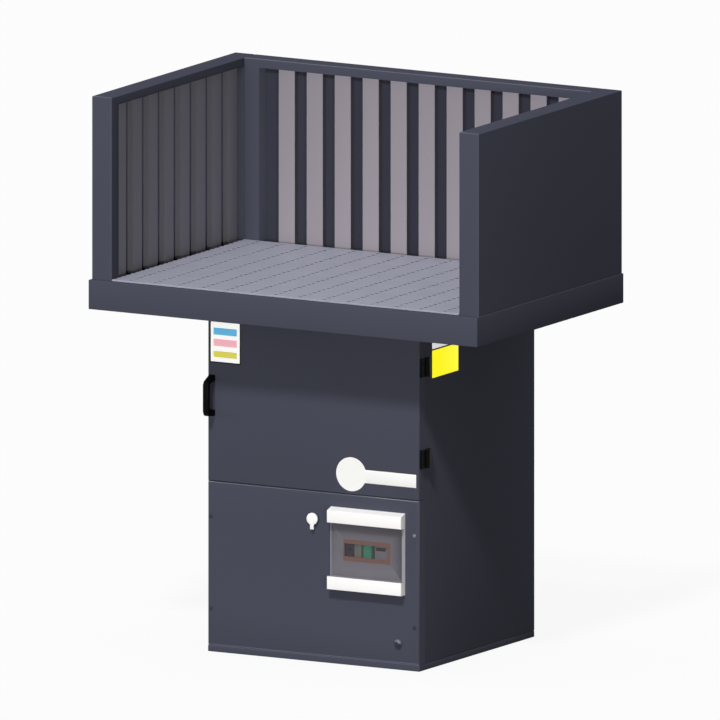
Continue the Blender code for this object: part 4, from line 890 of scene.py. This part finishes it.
class BENCH_OT_cover(BenchStep):
    """Make the cover's screws and finish its quarter-turn lock"""

    bl_idname = "bench.cover"
    bl_label = "Cover fittings"

    def execute(self, context):
        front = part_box("service_cover")[0][1]
        for corner in ("upper_left", "upper_right", "lower_left", "lower_right"):
            self.screw(corner, front)
        self.lock(front)
        return {"FINISHED"}

    def screw(self, corner, front):
        """Make one screw of the cover. The upper right one is painted lighter than the others, a
        painted highlight.
        """
        head_radius, seat_depth = 0.0043, 0.0002
        shank_radius, shank_length, shank_middle = 0.0020, 0.0270, 0.0140
        node = corner + "_cover_screw"
        spot = middle(node)
        bm = bmesh.new()
        screw_head(bm, (spot.x, front - seat_depth, spot.z), "Y", head_radius)
        shank = (spot.x, front + shank_middle, spot.z)
        disc(bm, shank, shank_radius, shank_length, "Y", 12)
        finish = "screw_zinc" if corner == "upper_right" else "steel"
        piece(corner + "_screw", bm, finish, replaced=(node,))

    def lock(self, front):
        """Round the lock's cylinder and set a bevelled cap on it, whose faces turned up and to
        the right take a lighter coat, a painted highlight.
        """
        coats, cap_coats = ("paint", "hem"), ("steel", "painted_highlight")
        low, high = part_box("cover_lock")
        bm = copied("cover_lock", True)
        rim = [edge for edge in folds(bm) if on_level(edge, 1, low[1])]
        rounded(bm, rim, self.sizes.flap_radius)
        for face in bm.faces:
            if face.calc_center_median().y < front and abs(face.normal.y) < 0.99:
                coat(face, coats, "hem")
        piece("lock_cylinder", bm, coats, "lock", ("cover_lock",))
        foot_radius, top_radius, depth, centre_height = 0.0088, 0.0042, 0.0026, 0.0012
        barrel_radius = (high[2] - low[2]) / 2
        centre = (low[0] + barrel_radius, low[1] - centre_height, (low[2] + high[2]) / 2)
        bm = bmesh.new()
        disc(bm, centre, foot_radius, depth, "Y", 40, top_radius)
        # Painted highlight: the cap's faces turned up and to the right take the lighter coat.
        for face in bm.faces:
            if face.normal.z > 0.35 or face.normal.z > 0.1 and face.normal.x > 0.3:
                coat(face, cap_coats, "painted_highlight")
        piece("lock_cap", bm, cap_coats, "lock")


class BENCH_OT_switch(BenchStep):
    """Make the selector switch: bezel and rounded white lever"""

    bl_idname = "bench.switch"
    bl_label = "Selector switch"

    def execute(self, context):
        piece("bezel_ring", copied("switch_bezel", True), "paint", replaced=("switch_bezel",))
        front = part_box("service_cover")[0][1]
        low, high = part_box("switch_lever")
        hub_radius, hub_depth, hub_middle, hub_edge = 0.0138, 0.0042, 0.0062, 0.0009
        hub_drop, lever_half, lever_radius = 0.0098, 0.0046, 0.0014
        tip_gap, foot_gap, seat_gap, overrun = 0.004, 0.001, 0.0046, 0.006
        stub_radius, stub_depth, stub_middle = 0.0040, 0.0080, 0.0010
        x, axis_z = (low[0] + high[0]) / 2, high[2] - hub_drop
        bm = bmesh.new()
        disc(bm, (x, front - hub_middle, axis_z), hub_radius, hub_depth, "Y", 40)
        rounded(bm, folds(bm), hub_edge)
        soft_box(
            bm, (x - lever_half, low[1] + tip_gap, low[2] + foot_gap),
            (x + lever_half, front - seat_gap, axis_z + overrun), lever_radius, 3,
        )
        disc(bm, (x, front - stub_middle, axis_z), stub_radius, stub_depth, "Y", 20)
        piece("lever_knob", bm, "white", "selector", ("switch_lever",))
        return {"FINISHED"}


class BENCH_OT_power_box(BenchStep):
    """Make the power box: bars, rims, mask plate and smoked flap"""

    bl_idname = "bench.power_box"
    bl_label = "Power box"

    def execute(self, context):
        rear_band, flap_gap, mask_gap, mask_depth = 0.004, 0.0006, 0.0004, 0.010
        low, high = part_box("power_box_frame")
        bm = copied("power_box_frame")
        edges = [
            edge for edge in folds(bm, 0.4)
            if all(vert.co.y < high[1] - rear_band for vert in edge.verts)
        ]
        rounded(bm, edges, self.sizes.plastic_radius, 3)
        bm.normal_update()
        flap_low, flap_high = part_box("power_box_door")
        # Painted shade: rims right of the flap take a grey coat, and rims left of it or facing
        # left a darker grey, on the white frame.
        for face in bm.faces:
            centre, normal = face.calc_center_median(), face.normal
            if not flap_low[2] - flap_gap < centre.z < flap_high[2] + flap_gap:
                continue
            if centre.x < flap_high[0] + mask_gap and centre.y > low[1] + mask_depth:
                coat(face, BOX_COATS, "mask")
            elif normal.y < -0.3 and centre.x >= flap_high[0]:
                coat(face, BOX_COATS, "rim")
            elif normal.y < -0.3 and centre.x <= flap_low[0] or normal.x < -0.3:
                coat(face, BOX_COATS, "painted_deep_shade_rim")
        piece("box_front", bm, BOX_COATS, replaced=("power_box_frame",))
        repaint("power_box", "grey_moulding")
        bm = copied("power_box_door")
        rounded(bm, folds(bm), self.sizes.flap_radius)
        piece("box_flap", bm, "smoked", "box_door", ("power_box_door",))
        return {"FINISHED"}


class BENCH_OT_switchgear(BenchStep):
    """Finish the rail modules behind the mask"""

    bl_idname = "bench.switchgear"
    bl_label = "Switchgear"

    def execute(self, context):
        for node, finish, body in (
            ("breaker", "dark_moulding", BENCH), ("left_module", "pale_moulding", BENCH),
            ("right_module", "green_plastic", BENCH), ("wide_module", "grey_moulding", BENCH),
            ("breaker_toggle", "black", "toggle"),
        ):
            bm = copied(node)
            rounded(bm, folds(bm), self.sizes.module_radius)
            piece(node + "_case", bm, finish, body, (node,))
        rise = 0.001
        for node, name, finish, left, right, bottom, top in (
            ("right_module", "button", "green_plastic", -0.006, 0.006, 0.004, 0.016),
            ("left_module", "lamp", "amber_moulding", -0.006, 0.006, -0.019, -0.012),
            ("wide_module", "mark", "ruby_moulding", -0.0135, 0.0105, 0.0025, 0.0095),
        ):
            front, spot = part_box(node)[0][1], middle(node)
            low = (spot.x + left, front - rise, spot.z + bottom)
            high = (spot.x + right, front + rise, spot.z + top)
            block(f"module_{name}", finish, low, high, self.sizes.module_radius)
        self.window_frame()
        return {"FINISHED"}

    def window_frame(self):
        """Lay a thin coloured frame round the window of the mask."""
        left, right, bottom, top = 0.0775, 0.1990, 0.2370, 0.2860
        inner_left, inner_right, inner_bottom, inner_top = 0.0805, 0.1915, 0.2465, 0.2765
        sheet, flap_gap = 0.0014, 0.0002
        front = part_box("power_box_door")[1][1] + flap_gap
        bm = bmesh.new()
        for west, east, low, high in (
            (left, right, bottom, inner_bottom), (left, right, inner_top, top),
            (left, inner_left, inner_bottom, inner_top),
            (inner_right, right, inner_bottom, inner_top),
        ):
            box(bm, (west, front, low), (east, front + sheet, high))
        piece("window_frame", bm, "amber_moulding")


class BENCH_OT_plates(BenchStep):
    """Make the stuck-on plates, which are bare or carry plain bands"""

    bl_idname = "bench.plates"
    bl_label = "Plates"

    def execute(self, context):
        door, rim_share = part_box("filter_door")[0][1], 0.4
        bands = (("blue", 0.7210, 0.7370), ("rose", 0.6955, 0.7115), ("straw", 0.6700, 0.6840))
        for name, finish, left, right, bottom, top, under, share in (
            # Painted shadow: a dark sheet a little larger than the card, round its edge.
            ("door_card_edge", "dark_vinyl", -0.267, -0.187, 0.6570, 0.7530, 0, 1.0),
            ("door_card", "white_foil", -0.264, -0.190, 0.6600, 0.7500, 1, 1.0),
            *(
                (f"door_card_{hue}", f"{hue}_foil", -0.257, -0.197, *ends, 2, 0.5)
                for hue, *ends in bands
            ),
            ("long_plate", "vinyl", 0.104, 0.264, 0.4170, 0.4470, 0, 1.0),
        ):
            sheet = self.sizes.plate_sheet * share
            back = door - under * self.sizes.plate_sheet
            low, high = (left, back - sheet, bottom), (right, back, top)
            block(name, finish, low, high, sheet * rim_share, "door")
        self.round_plate(door)
        side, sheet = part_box("right_side")[1][0], self.sizes.plate_sheet
        front, back = -0.134, -0.016
        for name, finish, bottom, top in (
            ("side_plate", "yellow_foil", 0.6585, 0.7205),
            ("side_header", "grey_foil", 0.7240, 0.7550),
        ):
            low, high = (side, front, bottom), (side + sheet, back, top)
            block(name, finish, low, high, sheet * rim_share)
        return {"FINISHED"}

    def round_plate(self, door):
        """Stick a round plate with a raised rim over the end of the long one."""
        x, z, radius, sheet = 0.0970, 0.4340, 0.0385, self.sizes.plate_sheet * 1.8
        bm = bmesh.new()
        disc(bm, (x, door - sheet / 2, z), radius, sheet, "Y", 72)
        cap = min(bm.faces, key=lambda face: face.calc_center_median().y)
        for thickness, depth in ((0.0004, -0.0002), (0.0026, 0.0), (0.0004, 0.0004)):
            bmesh.ops.inset_region(bm, faces=[cap], thickness=thickness, use_even_offset=True)
            bmesh.ops.translate(bm, verts=cap.verts, vec=(0.0, depth, 0.0))
        piece("round_plate", bm, "vinyl", "door")


class BENCH_OT_inside(BenchStep):
    """Finish the filter, the catch and the fan inside the cabinet"""

    bl_idname = "bench.inside"
    bl_label = "Filter and fan"

    def execute(self, context):
        for node, finish, body, curved in (
            ("filter_cartridge", "paper", BENCH, False), ("filter_top_cap", "zinc", BENCH, True),
            ("filter_bottom_cap", "zinc", BENCH, True),
            ("filter_clamp_knob", "black", "clamp", True), ("inlet_ring", "zinc", BENCH, True),
            ("impeller", "alloy", "rotor", True), ("motor", "motor", BENCH, True),
            ("motor_stand", "steel", BENCH, False), ("door_catch", "black", BENCH, False),
        ):
            piece(node + "_dressed", copied(node, curved), finish, body, (node,))
        return {"FINISHED"}


def direction(azimuth, elevation):
    """Return the way from the bench to a place on the right of the front and above it."""
    level = math.cos(elevation)
    return Vector(
        (math.sin(azimuth) * level, -math.cos(azimuth) * level, math.sin(elevation))
    )


class BENCH_OT_stage(BenchStep):
    """Set the floor, the lamps, the world and the camera"""

    bl_idname = "bench.stage"
    bl_label = "Stage"

    def execute(self, context):
        scene, settings = context.scene, context.scene.bench_stage
        warm = (1.0, 0.97, 0.74)
        self.floor()
        self.world(scene, settings.ambient)
        for name, power, azimuth, elevation, spread, tint in (
            ("key", settings.key_power, 14.8, 51.0, 6.0, WHITE),
            ("front_fill", settings.front_power, 0.0, 3.0, 6.0, WHITE),
            ("right_fill", settings.right_power, 46.0, 3.0, 6.0, warm),
            ("top_fill", settings.top_power, 0.0, 88.0, 30.0, WHITE),
            ("back_fill", settings.back_power, 180.0, 5.0, 20.0, WHITE),
            ("side_fill", settings.side_power, 270.0, 5.0, 20.0, WHITE),
        ):
            angles = map(math.radians, (azimuth, elevation, spread))
            self.lamp(name, power, tint, *angles)
        self.spare("key", "receiver", "left_slats", "left_corner_strip")
        self.spare("key", "blocker", "back_hood_wall_sheet")
        self.spare("right_fill", "receiver", "back_slats")
        self.camera(scene, settings)
        scene.view_settings.view_transform = "Standard"
        return {"FINISHED"}

    def floor(self):
        """Lay a pale floor that shows white to the camera and keeps a faint shadow."""
        unseen_grey, seen_grey, glow_share = (0.14, 0.14, 0.15), (0.80, 0.80, 0.81), 0.9
        bm = bmesh.new()
        bmesh.ops.create_grid(bm, x_segments=1, y_segments=1, size=30.0)
        mesh = meshed("studio_floor", bm)
        finish = Finish("floor_white", 0.0, roughness=1.0)
        seen = finish.seen_rays()
        finish.set("Base Color", finish.mix(unseen_grey, seen_grey, seen))
        glow = finish.node("ShaderNodeEmission", {}, {"Color": WHITE, "Strength": 1.0})
        values = {0: seen * glow_share, 1: Wire(finish, finish.shader.outputs[0]), 2: glow}
        blend = finish.node("ShaderNodeMixShader", {}, values)
        finish.feed(finish.tree.nodes["Material Output"].inputs["Surface"], blend)
        mesh.materials.append(finish.material)
        placed("studio_floor", mesh)

    def world(self, scene, ambient):
        """Light from all round, and show white to the camera."""
        scene.world = bpy.data.worlds.new("studio")
        scene.world.use_nodes = True
        sky = Nodes(scene.world.node_tree)
        values = {"Value": sky.seen_rays(), "To Min": ambient, "To Max": 1.0}
        background = sky.tree.nodes["Background"].inputs
        sky.feed(background["Color"], WHITE)
        sky.feed(background["Strength"], sky.node("ShaderNodeMapRange", {}, values))

    def lamp(self, name, power, tint, azimuth, elevation, spread):
        """Hang a distant lamp, turned to the right of the front and raised."""
        data = bpy.data.lights.new(name, "SUN")
        data.energy = power
        data.color = tint
        data.angle = spread
        lamp = placed(name, data)
        towards = direction(azimuth, elevation)
        lamp.rotation_euler = towards.to_track_quat("Z", "Y").to_euler()

    def spare(self, name, role, *pieces):
        """Keep a lamp off some pieces, or keep them from casting its shadow."""
        spared = bpy.data.collections.new(f"{name}_{role}")
        setattr(bpy.data.objects[name].light_linking, role + "_collection", spared)
        for spared_piece in pieces:
            spared.objects.link(bpy.data.objects[spared_piece])
        for linked in spared.collection_objects:
            linked.light_linking.link_state = "EXCLUDE"

    def camera(self, scene, settings):
        """Set the parallel camera at the photograph's angle and framing."""
        picture_pixels, pixels_right, pixels_up, distance = 720, 4.0, 288.6, 6.0
        data = bpy.data.cameras.new("camera")
        data.type = "ORTHO"
        data.ortho_scale = settings.view_width
        data.clip_end = 100.0
        camera = placed("camera", data)
        back = direction(settings.azimuth, settings.elevation)
        right = Vector((math.cos(settings.azimuth), math.sin(settings.azimuth), 0.0))
        pixel = settings.view_width / picture_pixels
        aim = right * (pixels_right * pixel) + back.cross(right) * (pixels_up * pixel)
        camera.location = aim + back * distance
        camera.rotation_euler = back.to_track_quat("Z", "Y").to_euler()
        scene.camera = camera


class BENCH_PT_panel(bpy.types.Panel):
    """List the bench's settings and operators"""

    bl_idname = "BENCH_PT_panel"
    bl_label = "Downdraft Bench"
    bl_space_type = "VIEW_3D"
    bl_region_type = "UI"
    bl_category = "Bench"

    def draw(self, context):
        for group, cls in GROUPS.items():
            column = self.layout.column(align=True)
            for name in cls.__annotations__:
                column.prop(getattr(context.scene, group), name)
        for operator in OPERATORS:
            self.layout.operator(operator.bl_idname)


OPERATORS = (
    BENCH_OT_casing, BENCH_OT_planks, BENCH_OT_slats, BENCH_OT_handle, BENCH_OT_hinges,
    BENCH_OT_cover, BENCH_OT_switch, BENCH_OT_power_box, BENCH_OT_switchgear,
    BENCH_OT_plates, BENCH_OT_inside, BENCH_OT_stage,
)
GROUPS = {
    "bench_sizes": BenchSizes, "bench_colours": BenchColours, "bench_stage": StageSettings,
}
CLASSES = (*GROUPS.values(), *OPERATORS, BENCH_PT_panel)


def register():
    """Register the classes and their settings."""
    for cls in CLASSES:
        bpy.utils.register_class(cls)
    for name, cls in GROUPS.items():
        setattr(bpy.types.Scene, name, bpy.props.PointerProperty(type=cls))


def unregister():
    """Remove the settings and the classes."""
    for name in GROUPS:
        delattr(bpy.types.Scene, name)
    for cls in reversed(CLASSES):
        bpy.utils.unregister_class(cls)


def main():
    """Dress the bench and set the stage."""
    register()
    FINISHES.update(make_finishes(bpy.context.scene.bench_colours))
    for operator in OPERATORS:
        group, name = operator.bl_idname.split(".")
        getattr(getattr(bpy.ops, group), name)()


if __name__ == "__main__":
    main()
